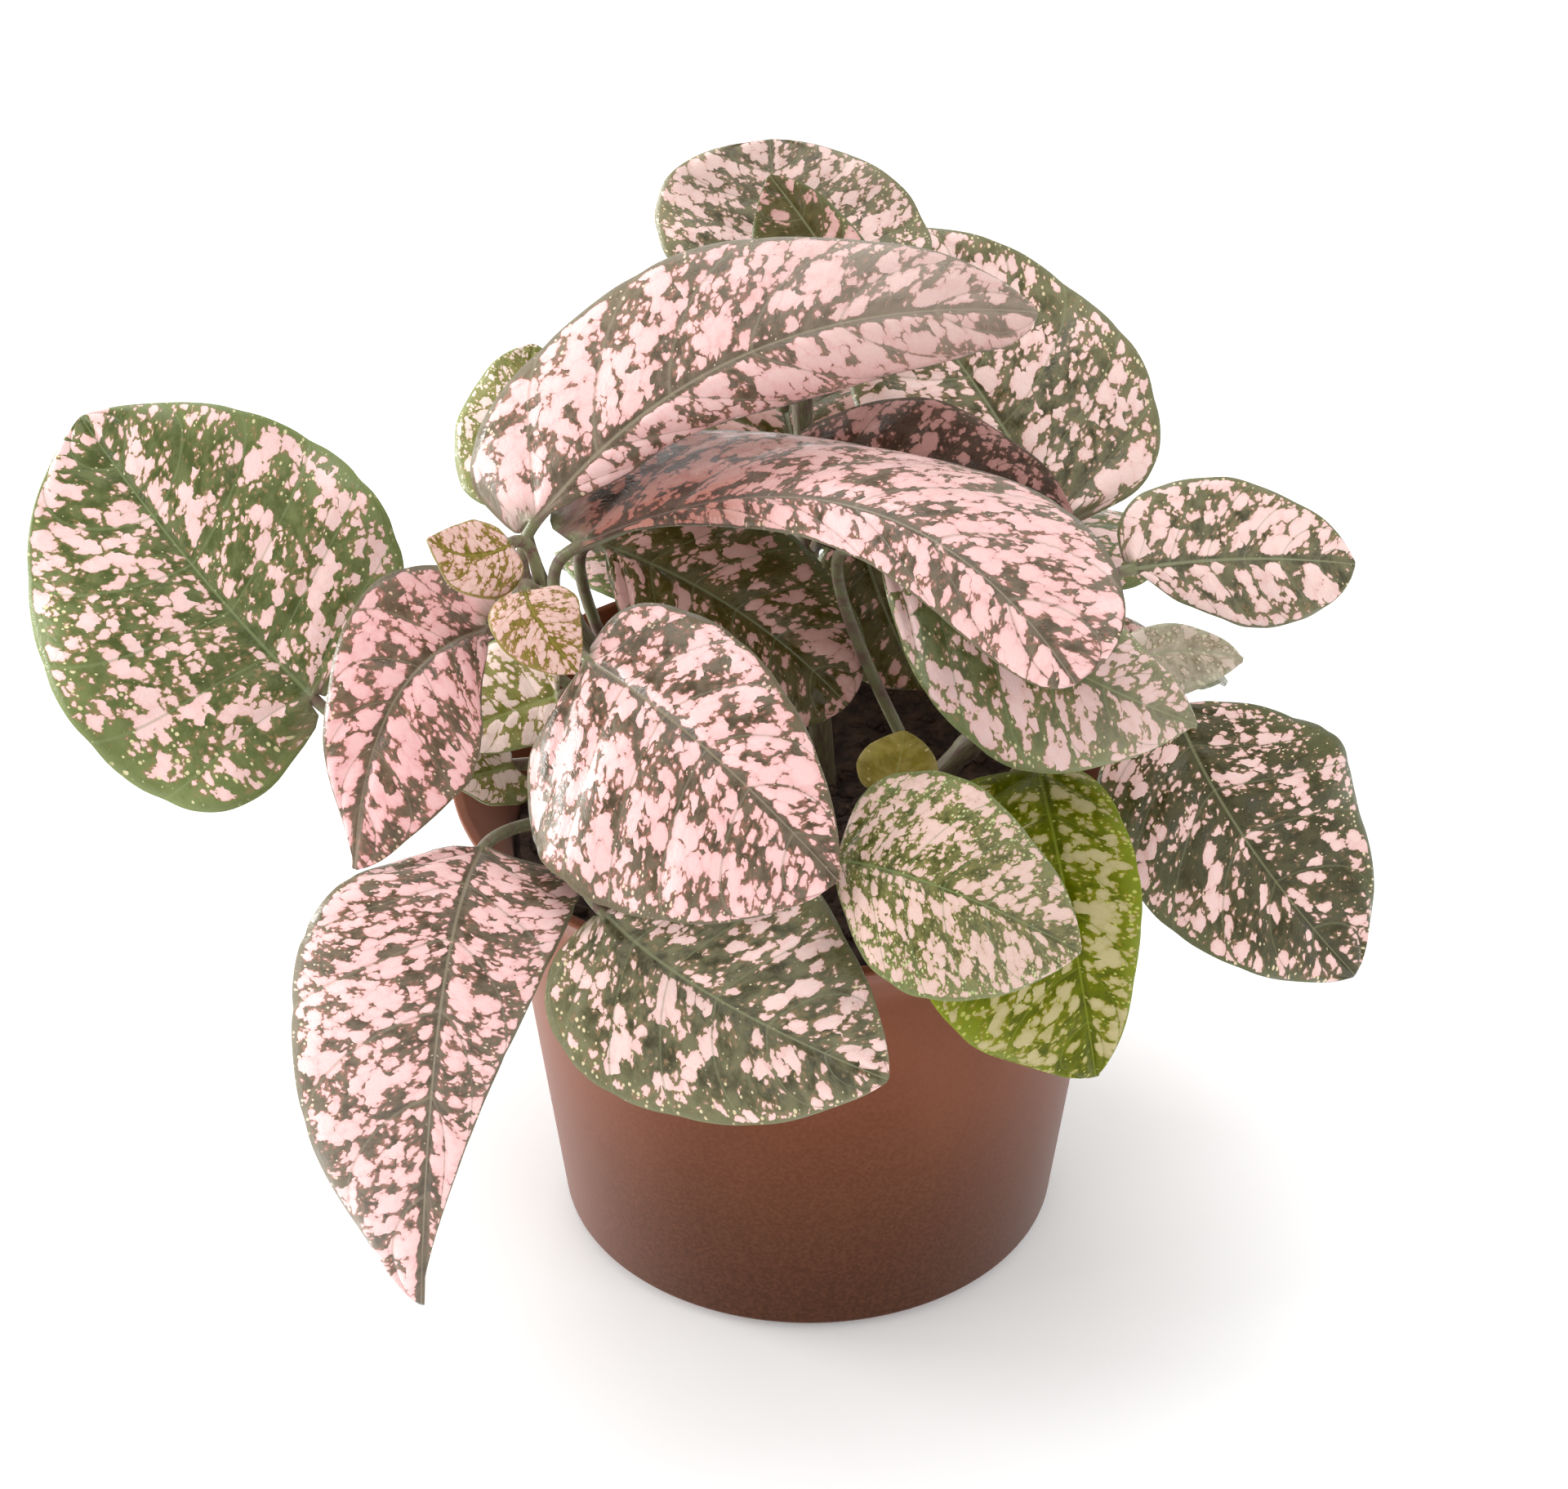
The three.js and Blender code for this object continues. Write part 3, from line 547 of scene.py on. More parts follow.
def relief(leaf, u, v, width):
    """How far the skin rises from the plain arc, in metres. A small leaf is smoother than a grown one."""
    share = np.abs(v)
    inside = smooth_step(0.0, RELIEF_STARTS, share) * (1 - smooth_step(RELIEF_FADES, 1.0, share))
    inside = inside * np.clip(width / RELIEF_WIDTH, 0, 1)
    vein = VEIN_DEPTH * np.exp(-(vein_distance(leaf, u, v) / VEIN_WIDTH) ** 2)
    pillow = PILLOW_HEIGHT * np.abs(np.sin(np.pi * vein_phase(u, v))) ** PILLOW_ROUNDNESS
    channel = CHANNEL_DEPTH * np.exp(-(share * width / CHANNEL_WIDTH) ** 2)
    return min(1.0, max(leaf["wide"]) / GROWN_WIDTH) * (inside * (pillow - vein) - channel)


print("a vein sinks", VEIN_DEPTH / MM, "mm and a pillow rises", PILLOW_HEIGHT / MM, "mm")

# %% [markdown]
# From a flat slab to a leaf
#
# A blade is a thin closed skin with a thinner rim. It could be stitched together from an upper face, a lower
# face and a rim. Here the mesh starts as a grid that bmesh makes, and solidify turns the grid into a thin
# closed slab. Each corner of the slab then moves to its place on the leaf: the lower rows of the slab wrap
# round the petiole, and the rest become the blade. Nothing has to be stitched, and near the base the round
# petiole blends into the flat blade, as it does on a real leaf.
#
# Across the leaf the blade follows an arc, so a half can lie flat, cup up or roll over. The first cell gives
# what that takes: the half width with its tiny notches, the arc, and the wave of the edge.

# %% Width, arc and wave of a blade
TIP_HALF_WIDTH = 0.4 * MM
SUPPLE_WIDTH = 6 * MM
NOTCH_DEPTH = 0.012
NOTCH_WIDTH = 1.1 * MM
NOTCHED_FROM = 4 * MM
RIGHT_WAVE_AHEAD = 2


def blade_width(leaf, u, side):
    """The half width, a touch narrower where each side vein meets the rim."""
    width = np.maximum(half_width(leaf, u, side), np.where(u < 0.5, PETIOLE_RADIUS, TIP_HALF_WIDTH))
    notch = np.exp(-(vein_distance(leaf, u, np.ones_like(u)) / NOTCH_WIDTH) ** 2)
    return width * (1 - NOTCH_DEPTH * notch * (width > NOTCHED_FROM))


def arc_across(leaf, u, share, side, width):
    """The arc's slope at a share of the half width, and how far out and up it has come there."""
    slopes = np.array([leaf["left"], leaf["right"]], float)[side]
    supple = np.minimum(1, width / SUPPLE_WIDTH)
    inner = np.radians(supple * (slopes[:, 0] + leaf["fold"] * (1 - u) ** 2))
    bend = np.radians(supple * (slopes[:, 1] - slopes[:, 0]))
    slope = inner + bend * share
    out = width * (np.sin(slope) - np.sin(inner)) / bend
    rise = width * (np.cos(inner) - np.cos(slope)) / bend
    return slope, out, rise


def edge_wave(leaf, u, share, side, width):
    wide = np.array(leaf["wide"], float)[side] * MM
    height, count, start = leaf["wave"]
    turn = 2 * np.pi * count * u + np.radians(start) + RIGHT_WAVE_AHEAD * side
    return height * wide * np.sin(turn) * share ** 2 * np.minimum(1, 2 * width / wide)


print("a notch takes", round(100 * NOTCH_DEPTH, 1), "% of the half width")

# %% Points of the blade and of the petiole
BLADE_HALF_THICKNESS = 0.22 * MM
RIM_SHARE = 0.55
RIDGE_HEIGHT = 0.55 * MM
RIDGE_WIDTH = 0.55 * MM
NECK_END = 0.035


def blade_points(leaf, u, v, upper):
    side = (v > 0).astype(int)
    share = np.abs(v)
    along, up, across = leaf_frame(leaf, u)
    width = blade_width(leaf, u, side)
    slope, out, rise = arc_across(leaf, u, share, side, width)
    rise = rise + edge_wave(leaf, u, share, side, width)
    lobe, wide = (np.array(leaf[key], float)[side] * MM for key in ("lobe", "wide"))
    back = lobe * width / wide * share ** 2 * (1 - u) ** 2
    thick = BLADE_HALF_THICKNESS * (1 - (1 - RIM_SHARE) * share ** 2)
    ridge = RIDGE_HEIGHT * (1 - u) * np.exp(-(share * width / RIDGE_WIDTH) ** 2)
    flat = np.where(upper, thick, -thick - ridge) + relief(leaf, u, v, width)
    tube = np.where(upper, 1, -1) * PETIOLE_RADIUS * np.cos(np.pi / 2 * v)
    neck = smooth_step(0.0, NECK_END, u)
    lift = neck * flat + (1 - neck) * tube
    out = neck * out + (1 - neck) * PETIOLE_RADIUS * np.sin(np.pi / 2 * share)
    points = bend_point(leaf["rib"], u) - along * back[:, None]
    points += across * (np.sign(v) * (out - lift * np.sin(slope) * share))[:, None]
    points += up * (rise + lift * (1 - share + share * np.cos(slope)))[:, None]
    return points, width


def petiole_points(leaf, t, v, upper):
    along = bend_direction(leaf["petiole"], t)
    side = square_to(leaf["base_across"], along)
    face = np.cross(side, along)
    turn = np.pi / 2 * v
    lift = np.where(upper, 1, -1) * np.cos(turn)
    return bend_point(leaf["petiole"], t) + PETIOLE_RADIUS * (
        side * np.sin(turn)[:, None] + face * lift[:, None]
    )


print("the rim is", round(2 * BLADE_HALF_THICKNESS * RIM_SHARE / MM, 2), "mm thick")

# %% [markdown]
# What the paint needs to know
#
# A material can only follow the surface if the mesh tells it where each point lies. Object coordinates would
# cut through a bent leaf at an angle, so two UV maps say it instead. splash_map gives the place on the flat
# blade in millimetres, sheared and stretched a little so that a splash runs out along the veins. A leaf's
# number shifts it, so no two leaves carry the same splashes. vein_map gives the distance from the midrib and
# the vein phase. A colour attribute called leaf_place holds the share across, the share along, the upper
# face and the blade. Three plain numbers are the row's own: leaf_pink and the strengths of its painted sheen
# and its painted shade.

# %% A thin slab and a map on it
SLAB_THICKNESS = 0.01


def even(number):
    return 2 * math.ceil(number / 2)


def flat_slab(rows, columns):
    """A thin closed slab from -1 to 1 both ways."""
    slab = bmesh.new()
    bmesh.ops.create_grid(slab, x_segments=columns, y_segments=rows, size=1)
    bmesh.ops.solidify(slab, geom=slab.faces[:], thickness=SLAB_THICKNESS)
    bmesh.ops.recalc_face_normals(slab, faces=slab.faces[:])
    mesh = bpy.data.meshes.new("slab")
    slab.to_mesh(mesh)
    slab.free()
    return mesh


def corner_points(mesh):
    corners = np.empty(3 * len(mesh.vertices))
    mesh.vertices.foreach_get("co", corners)
    return corners.reshape(-1, 3)


def move_corners(mesh, points):
    mesh.vertices.foreach_set("co", points.astype(np.float32).ravel())


def write_map(mesh, name, values):
    """A UV map from one pair of numbers for each vertex."""
    corner = np.empty(len(mesh.loops), int)
    mesh.loops.foreach_get("vertex_index", corner)
    layer = mesh.uv_layers.new(name=name)
    layer.data.foreach_set("uv", values[corner].astype(np.float32).ravel())


print("an odd number of 7 columns becomes", even(7))

# %% The leaf's mesh
ROW_STEP = 0.62 * MM
COLUMN_STEP = 0.72 * MM
PETIOLE_STEP = 1.3 * MM
LEAST_ROWS = 24
LEAST_COLUMNS = 20
LEAST_PETIOLE_ROWS = 8
CENTRE_CROWDING = 0.45
EVEN_SPACING = 0.5
SPLASH_STRETCH = 1.2
SPLASH_SHEAR = 0.45
SPLASH_SHIFT = (53.0, 31.0)


def write_leaf_places(mesh, leaf, places):
    layer = mesh.attributes.new("leaf_place", "FLOAT_COLOR", "POINT")
    layer.data.foreach_set("color", places.astype(np.float32).ravel())
    for name in ("pink", "painted_sheen", "painted_shade"):
        layer = mesh.attributes.new(f"leaf_{name}", "FLOAT", "POINT")
        layer.data.foreach_set("value", np.full(len(places), leaf[name], np.float32))


def leaf_mesh(leaf, number):
    petiole_length = np.linalg.norm(leaf["petiole"][2] - leaf["petiole"][0])
    petiole_rows = max(LEAST_PETIOLE_ROWS, round(petiole_length / PETIOLE_STEP))
    blade_rows = max(LEAST_ROWS, round(leaf["length"] / ROW_STEP))
    columns = even(max(LEAST_COLUMNS, sum(leaf["wide"]) * MM / COLUMN_STEP))
    mesh = flat_slab(petiole_rows + blade_rows, columns)
    place, row, layer = corner_points(mesh).T
    v = CENTRE_CROWDING * place + (1 - CENTRE_CROWDING) * place * np.abs(place)
    row = (row + 1) / 2 * (petiole_rows + blade_rows)
    upper = layer > layer.mean()
    step = np.clip((row - petiole_rows) / blade_rows, 0, 1)
    u = EVEN_SPACING * step + (1 - EVEN_SPACING) / 2 * (1 - np.cos(np.pi * step))
    t = np.clip(row / petiole_rows, 0, 1)
    on_blade = row > petiole_rows - 0.5
    points, width = blade_points(leaf, u, v, upper)
    points[~on_blade] = petiole_points(leaf, t, v, upper)[~on_blade]
    move_corners(mesh, points)
    across = v * width / MM
    down = np.where(on_blade, u * leaf["length"], (t - 1) * petiole_length) / MM
    flat = np.stack([across / SPLASH_STRETCH, down - SPLASH_SHEAR * np.abs(across)], axis=1)
    write_map(mesh, "splash_map", flat * leaf["fineness"] + np.array(SPLASH_SHIFT) * number)
    write_map(mesh, "vein_map", np.stack([across * leaf["fineness"], vein_phase(u, v)], axis=1))
    write_leaf_places(mesh, leaf, np.stack([np.abs(v), u, upper, on_blade], axis=1))
    mesh.shade_smooth()
    mesh.update()
    return mesh


print("rows of a blade lie", ROW_STEP / MM, "mm apart and its columns", COLUMN_STEP / MM, "mm")

# %% [markdown]
# Small helpers for shader nodes
#
# A material here is a network of nodes. Building one by hand takes many lines that look alike, so a few
# helpers make a node and wire what goes into it: a value that is already a socket is linked, and anything
# else is typed into the field. The others do what the paints below need: a sum or a product, a smooth step, a
# mix of two colours, a noise, a number that the mesh carries, and a bump. The values below give a step as
# where it starts, where it ends and, unless that is 1, how high it gets.


# %% Node helpers
def new_material(name):
    material = bpy.data.materials.new(name)
    material.use_nodes = True
    return material, material.node_tree


def feed(tree, socket, value):
    if isinstance(value, bpy.types.NodeSocket):
        tree.links.new(value, socket)
    else:
        socket.default_value = value


def add_node(tree, kind, inputs=None, **settings):
    node = tree.nodes.new(kind)
    for name, value in settings.items():
        setattr(node, name, value)
    for name, value in (inputs or {}).items():
        feed(tree, node.inputs[name], value)
    return node


def compute(tree, operation, *values):
    node = add_node(tree, "ShaderNodeMath", operation=operation)
    for socket, value in zip(node.inputs, values):
        feed(tree, socket, value)
    return node.outputs[0]


def step_up(tree, value, low, high, top=1.0):
    """0 at low, top at high, and a smooth step between them. low may be the larger one."""
    node = add_node(tree, "ShaderNodeMapRange", interpolation_type="SMOOTHSTEP")
    for name, number in (("From Min", low), ("From Max", high), ("To Max", top)):
        feed(tree, node.inputs[name], number)
    feed(tree, node.inputs["Value"], value)
    return node.outputs["Result"]


def blend(tree, share, first, second, how="MIX"):
    node = add_node(tree, "ShaderNodeMix", data_type="RGBA", blend_type=how)
    feed(tree, node.inputs["Factor"], share)
    feed(tree, node.inputs["A"], first)
    feed(tree, node.inputs["B"], second)
    return node.outputs["Result"]


def noise_at(tree, place, scale, detail=2.0, roughness=0.5, out="Fac"):
    inputs = {"Vector": place, "Scale": scale, "Detail": detail, "Roughness": roughness}
    return add_node(tree, "ShaderNodeTexNoise", inputs).outputs[out]


def told(tree, name, out="Fac"):
    """What the mesh tells about itself under that name."""
    return add_node(tree, "ShaderNodeAttribute", attribute_name=name).outputs[out]


def bump_from(tree, height, strength, distance):
    inputs = {"Height": height, "Strength": strength, "Distance": distance}
    return add_node(tree, "ShaderNodeBump", inputs).outputs["Normal"]


print("node helpers ready")

# %% [markdown]
# Leaf colours
#
# The leaves differ in tone: old ones are dark and reddish, and young ones lime, amber or grey. Leaves that
# lie in the shade of others get darker tones as painted shade, the darkest nearly black. One colour for all
# of them would look like plastic. So each tone is a row of paints: the green between deep and light, the rim,
# the pink with its warmer blush, the small dots and how many there are, the warm fringe round a splash, the
# veins, and how glossy the skin is.

# %% Leaf colours
TONES = {
    "dark": dict(
        deep=paint(74, 60, 38), light=paint(117, 101, 80), rim=paint(116, 106, 78),
        splash=paint(248, 205, 202), blush=paint(236, 172, 170), dot=paint(235, 205, 180),
        dots=0.1, fringe=paint(156, 106, 88), rib=paint(150, 138, 114), gloss=0.4,
    ),
    # Partly the leaves' own tone and partly painted shade: its pink is darker for leaves inside the plant.
    "deep": dict(
        deep=paint(72, 62, 12), light=paint(98, 88, 44), rim=paint(110, 116, 72),
        splash=paint(226, 178, 170), blush=paint(204, 146, 138), dot=paint(204, 176, 140),
        dots=0.1, fringe=paint(124, 100, 66), rib=paint(134, 136, 100), gloss=0.35,
    ),
    "night": dict(
        deep=paint(52, 48, 12), light=paint(78, 74, 40), rim=paint(100, 104, 62),
        splash=paint(242, 206, 200), blush=paint(226, 174, 166), dot=paint(230, 210, 170),
        dots=0.1, fringe=paint(118, 94, 60), rib=paint(120, 120, 84), gloss=0.35,
    ),
    # A darker copy of the dark tone, painted shade for the leaf that lies in the crown leaf's shadow.
    "umber": dict(
        deep=paint(52, 30, 16), light=paint(68, 46, 32), rim=paint(70, 54, 34),
        splash=paint(166, 120, 112), blush=paint(142, 96, 88), dot=paint(140, 110, 90),
        dots=0.1, fringe=paint(96, 60, 48), rib=paint(86, 68, 48), gloss=0.2,
    ),
    "olive": dict(
        deep=paint(66, 62, 36), light=paint(122, 118, 86), rim=paint(130, 128, 88),
        splash=paint(252, 219, 212), blush=paint(240, 188, 182), dot=paint(230, 212, 170),
        dots=0.1, fringe=paint(144, 118, 84), rib=paint(142, 144, 108), gloss=0.35,
    ),
    "mid": dict(
        deep=paint(74, 84, 34), light=paint(108, 116, 66), rim=paint(130, 142, 84),
        splash=paint(250, 213, 209), blush=paint(240, 190, 182), dot=paint(226, 214, 166),
        dots=0.12, fringe=paint(146, 122, 80), rib=paint(136, 148, 100), gloss=0.35,
    ),
    "fresh": dict(
        deep=paint(110, 114, 44), light=paint(152, 148, 90), rim=paint(140, 146, 96),
        splash=paint(250, 226, 216), blush=paint(232, 200, 186), dot=paint(232, 218, 178),
        dots=0.14, fringe=paint(150, 134, 76), rib=paint(150, 156, 96), gloss=0.25,
    ),
    "hazy": dict(
        deep=paint(62, 68, 6), light=paint(122, 120, 62), rim=paint(132, 142, 84),
        splash=paint(236, 202, 190), blush=paint(216, 176, 158), dot=paint(206, 208, 150),
        dots=0.2, fringe=paint(140, 130, 70), rib=paint(124, 142, 86), gloss=0.3,
    ),
    # Partly the leaf's own redder tone and partly painted shade: its pinks are darker, as where a leaf curls
    # into shade.
    "ruddy": dict(
        deep=paint(80, 62, 42), light=paint(114, 92, 70), rim=paint(110, 98, 72),
        splash=paint(238, 187, 185), blush=paint(224, 154, 154), dot=paint(226, 190, 166),
        dots=0.1, fringe=paint(158, 104, 88), rib=paint(136, 122, 98), gloss=0.35,
    ),
    "lime": dict(
        deep=paint(76, 82, 0), light=paint(100, 108, 0), rim=paint(136, 148, 40),
        splash=paint(184, 172, 126), blush=paint(156, 148, 84), dot=paint(176, 176, 90),
        dots=0.2, fringe=paint(130, 126, 30), rib=paint(128, 136, 40), gloss=0.08,
    ),
    "pale": dict(
        deep=paint(166, 154, 130), light=paint(212, 198, 176), rim=paint(196, 194, 166),
        splash=paint(232, 214, 198), blush=paint(212, 186, 168), dot=paint(226, 220, 190),
        dots=0.2, fringe=paint(150, 140, 106), rib=paint(176, 180, 146), gloss=0.3,
    ),
    "young": dict(
        deep=paint(140, 124, 34), light=paint(186, 166, 84), rim=paint(176, 160, 96),
        splash=paint(228, 192, 168), blush=paint(216, 152, 132), dot=paint(226, 206, 146),
        dots=0.1, fringe=paint(160, 122, 60), rib=paint(176, 168, 90), gloss=0.25,
    ),
    "amber": dict(
        deep=paint(104, 94, 10), light=paint(138, 118, 48), rim=paint(160, 140, 80),
        splash=paint(230, 192, 180), blush=paint(206, 148, 132), dot=paint(210, 180, 130),
        dots=0.1, fringe=paint(156, 116, 72), rib=paint(146, 136, 56), gloss=0.2,
    ),
}
print("tones", list(TONES))

# %% [markdown]
# What makes a splash
#
# On the real leaf the pink comes in patches of cells that ran together as the leaf grew, with round spots of
# all sizes beside them. A noise cut off at one level would look like clouds instead. So the paint is built
# from round discs, one in each cell of a Voronoi texture, in three layers from coarse to fine. A chance that
# is the same all over a cell sets the size of its disc, and a broad noise makes discs larger where pink is
# likely. Discs that meet melt into one splash, a warp bends them out of round, and a fine noise frays their
# edges. The midrib, the side veins and the rim push the pink away. All of this happens in the flat map's
# millimetres.

# %% Round cells and a warp
NOISE_MIDDLE = 0.5
WARP = {"scale": 0.85, "reach": 1.5}


def flat_cells(tree, place, scale, number):
    """The distance to the nearest seed, and the chance with that number, which all its cell shares."""
    inputs = {"Vector": place, "Scale": scale}
    cells = add_node(tree, "ShaderNodeTexVoronoi", inputs, voronoi_dimensions="2D", feature="F1")
    chances = add_node(tree, "ShaderNodeSeparateColor", {0: cells.outputs["Color"]}).outputs
    return cells.outputs["Distance"], chances[number]


def vector_step(tree, operation, inputs):
    return add_node(tree, "ShaderNodeVectorMath", inputs, operation=operation).outputs[0]


def warped(tree, place):
    """The place, pushed about by a soft noise."""
    noise = noise_at(tree, place, WARP["scale"], out="Color")
    shift = vector_step(tree, "SUBTRACT", {0: noise, 1: (NOISE_MIDDLE, NOISE_MIDDLE, NOISE_MIDDLE)})
    push = vector_step(tree, "SCALE", {0: shift, "Scale": WARP["reach"]})
    return vector_step(tree, "ADD", {0: place, 1: push})


print("the warp pushes a point by up to", WARP["reach"] / 2, "mm each way")

# %% Discs that melt together
LIKELY = {"scale": 0.22, "detail": 1.0, "strength": 1.7}
DISC_LAYERS = (
    {"scale": 0.42, "grow": 1.1, "most": 0.58},
    {"scale": 0.62, "grow": 1.1, "most": 0.6},
    {"scale": 1.1, "grow": 0.75, "most": 0.42},
)
FAR_OUTSIDE = -2.0
MERGE = 0.35


def merged_discs(tree, place, richness):
    """How many millimetres inside the nearest disc the point lies."""
    moved = warped(tree, place)
    cloud = noise_at(tree, place, LIKELY["scale"], LIKELY["detail"])
    likely = compute(tree, "SUBTRACT", cloud, NOISE_MIDDLE)
    likely = compute(tree, "MULTIPLY_ADD", likely, LIKELY["strength"], richness)
    value = FAR_OUTSIDE
    for layer in DISC_LAYERS:
        distance, chance = flat_cells(tree, moved, layer["scale"], 0)
        radius = compute(tree, "SUBTRACT", compute(tree, "ADD", chance, likely), 1.0)
        radius = compute(tree, "MINIMUM", compute(tree, "MULTIPLY", radius, layer["grow"]), layer["most"])
        inside = compute(tree, "DIVIDE", compute(tree, "SUBTRACT", radius, distance), layer["scale"])
        value = compute(tree, "SMOOTH_MAX", value, inside, MERGE)
    return value


print(len(DISC_LAYERS), "layers of discs")

# %% [markdown]
# Where the pink stops, and the tiny dots
#
# On the real leaf the midrib stays green, the side veins are thinner lines of green, and the rim is green
# too. They could be painted over the pink, but then each would cut a splash like a ruler. Here they take
# something off the splash value before its edge is drawn, so that a splash ends in a soft curve. Between the
# splashes lie tiny cream dots, more of them near the rim, and a fourth field of cells scatters those.

# %% The splash value and the dots
FRAY = {"scale": 2.3, "strength": 0.62}
RIB_CLEAR = (0.95, 0.1, 1.0)
VEIN_CLEAR = (0.06, 0.0, 0.35)
RIM_CLEAR = (0.93, 1.0, 1.4)
DOT_CELLS = 1.7
DOT_ROUNDNESS = -0.62
DOT_EDGE = (-0.05, 0.03)
MORE_DOTS_AT_RIM = (0.4, 0.9, 0.14)


def splash_value(tree, spot):
    """How many millimetres inside a splash the point lies. Above zero is pink."""
    value = merged_discs(tree, spot["place"], told(tree, "leaf_pink"))
    fray = compute(tree, "SUBTRACT", noise_at(tree, spot["place"], FRAY["scale"]), NOISE_MIDDLE)
    value = compute(tree, "MULTIPLY_ADD", fray, FRAY["strength"], value)
    rib = step_up(tree, spot["off_rib"], *RIB_CLEAR)
    vein = step_up(tree, spot["off_vein"], *VEIN_CLEAR)
    rim = step_up(tree, spot["edge"], *RIM_CLEAR)
    return compute(tree, "SUBTRACT", value, compute(tree, "ADD", rim, compute(tree, "ADD", rib, vein)))


def tiny_dots(tree, spot, amount):
    distance, chance = flat_cells(tree, spot["place"], DOT_CELLS, 1)
    value = compute(tree, "ADD", chance, step_up(tree, spot["edge"], *MORE_DOTS_AT_RIM))
    value = compute(tree, "SUBTRACT", value, 1.0 - amount)
    value = compute(tree, "MULTIPLY_ADD", distance, DOT_ROUNDNESS, value)
    return step_up(tree, value, *DOT_EDGE)


print("the midrib holds the pink back within", RIB_CLEAR[0], "mm")

# %% [markdown]
# The painted skin
#
# A living leaf has its colours inside its skin: green clouds, pink splashes with a thin warm fringe where
# their cells thin out, and pale lines on the veins. Each could be a shader of its own, but they all gloss
# alike, so one shader is enough and only its colour is mixed. The mixing goes from the bottom up: green, rim,
# fringe, dots, splashes, lines. First the material asks the mesh where the point that it paints lies on its
# leaf.


# %% Where the painted point lies
CLOUDS = {"scale": 0.5, "detail": 3.0, "roughness": 0.6}


def vein_gap(tree, phase):
    """0 on a side vein, 0.5 in the middle between two."""
    beside = compute(tree, "FRACT", compute(tree, "ADD", phase, 0.5))
    return compute(tree, "ABSOLUTE", compute(tree, "SUBTRACT", beside, 0.5))


def leaf_spot(tree):
    """What the mesh and a soft noise say about the point that is being painted."""
    place = add_node(tree, "ShaderNodeUVMap", uv_map="splash_map").outputs[0]
    veins = add_node(tree, "ShaderNodeUVMap", uv_map="vein_map").outputs[0]
    parts = add_node(tree, "ShaderNodeSeparateXYZ", {0: veins}).outputs
    shares = add_node(tree, "ShaderNodeSeparateColor", {0: told(tree, "leaf_place", "Color")}).outputs
    return {
        "place": place,
        "off_rib": compute(tree, "ABSOLUTE", parts[0]),
        "off_vein": vein_gap(tree, parts[1]),
        "edge": shares[0],
        "along": shares[1],
        "upper": shares[2],
        "blade": told(tree, "leaf_place", "Alpha"),
        "clouds": noise_at(tree, place, **CLOUDS),
    }


print("clouds in the green are about", round(1 / CLOUDS["scale"]), "mm across")

# %% Green, pink and lines
GREEN_CLOUDS = (0.3, 0.7)
RIM_TINGE = (0.55, 1.0, 0.6)
FRINGE = (-0.32, -0.03, 0.85)
SPLASH_EDGE = (-0.04, 0.05)
BLUSH_AT_EDGE = (0.6, 0.0, 0.5)
BLUSH_CLOUDS = (0.52, 0.75, 0.5)
SIDE_LINE = (0.03, 0.01, 0.4)
RIM_LINE = (0.975, 0.99, 0.7)
MIDRIB_LINE = (1.0, 0.5, 0.75)
MIDRIB_LINE_HALF = 0.3
MIDRIB_LINE_TAPER = -0.2


def green_skin(tree, look, spot, value):
    green = blend(tree, step_up(tree, spot["clouds"], *GREEN_CLOUDS), look["deep"], look["light"])
    green = blend(tree, step_up(tree, spot["edge"], *RIM_TINGE), green, look["rim"])
    green = blend(tree, step_up(tree, value, *FRINGE), green, look["fringe"])
    return blend(tree, tiny_dots(tree, spot, look["dots"]), green, look["dot"])


def pink_skin(tree, look, spot, value):
    pink = blend(tree, step_up(tree, value, *BLUSH_AT_EDGE), look["splash"], look["blush"])
    return blend(tree, step_up(tree, spot["clouds"], *BLUSH_CLOUDS), pink, look["blush"])


def midrib_line(tree, spot):
    """How strongly the pale line of the midrib shows. It narrows towards the tip."""
    half_line = compute(tree, "MULTIPLY_ADD", spot["along"], MIDRIB_LINE_TAPER, MIDRIB_LINE_HALF)
    return step_up(tree, compute(tree, "DIVIDE", spot["off_rib"], half_line), *MIDRIB_LINE)


def lined_skin(tree, look, spot, skin, line):
    skin = blend(tree, step_up(tree, spot["off_vein"], *SIDE_LINE), skin, look["rib"])
    skin = blend(tree, line, skin, look["rib"])
    return blend(tree, step_up(tree, spot["edge"], *RIM_LINE), skin, look["rim"])


print("the midrib's line is", 2 * MIDRIB_LINE_HALF, "mm wide at its base")

# %% [markdown]
# Painted sheen and painted shade
#
# Short hairs give some leaves a grey satin sheen in glancing light, most of all on their outer part, and
# light that has passed through another leaf makes a shaded part look bronze. Real hairs, and light that is
# followed through leaf after leaf, would be slow to render. So a grey is mixed in by one of the leaf's own
# numbers as a painted sheen, and a brown is multiplied in near the base by another as painted shade. From
# where the plant is seen they look the same.

# %% Painted sheen and painted shade
# Painted sheen: a grey mixed into the outer part of some leaves, where glancing light would lighten them.
PAINTED_SHEEN_GREY = paint(174, 158, 142)
PAINTED_SHEEN_REACH = (0.45, 0.85, 0.8)
PAINTED_SHEEN_EVERYWHERE = 0.2
# Painted shade: a warm brown multiplied in near the base of a leaf that another leaf shades.
LEAF_SHADE_BROWN = paint(150, 106, 82)
LEAF_SHADE_REACH = (0.5, 0.2)


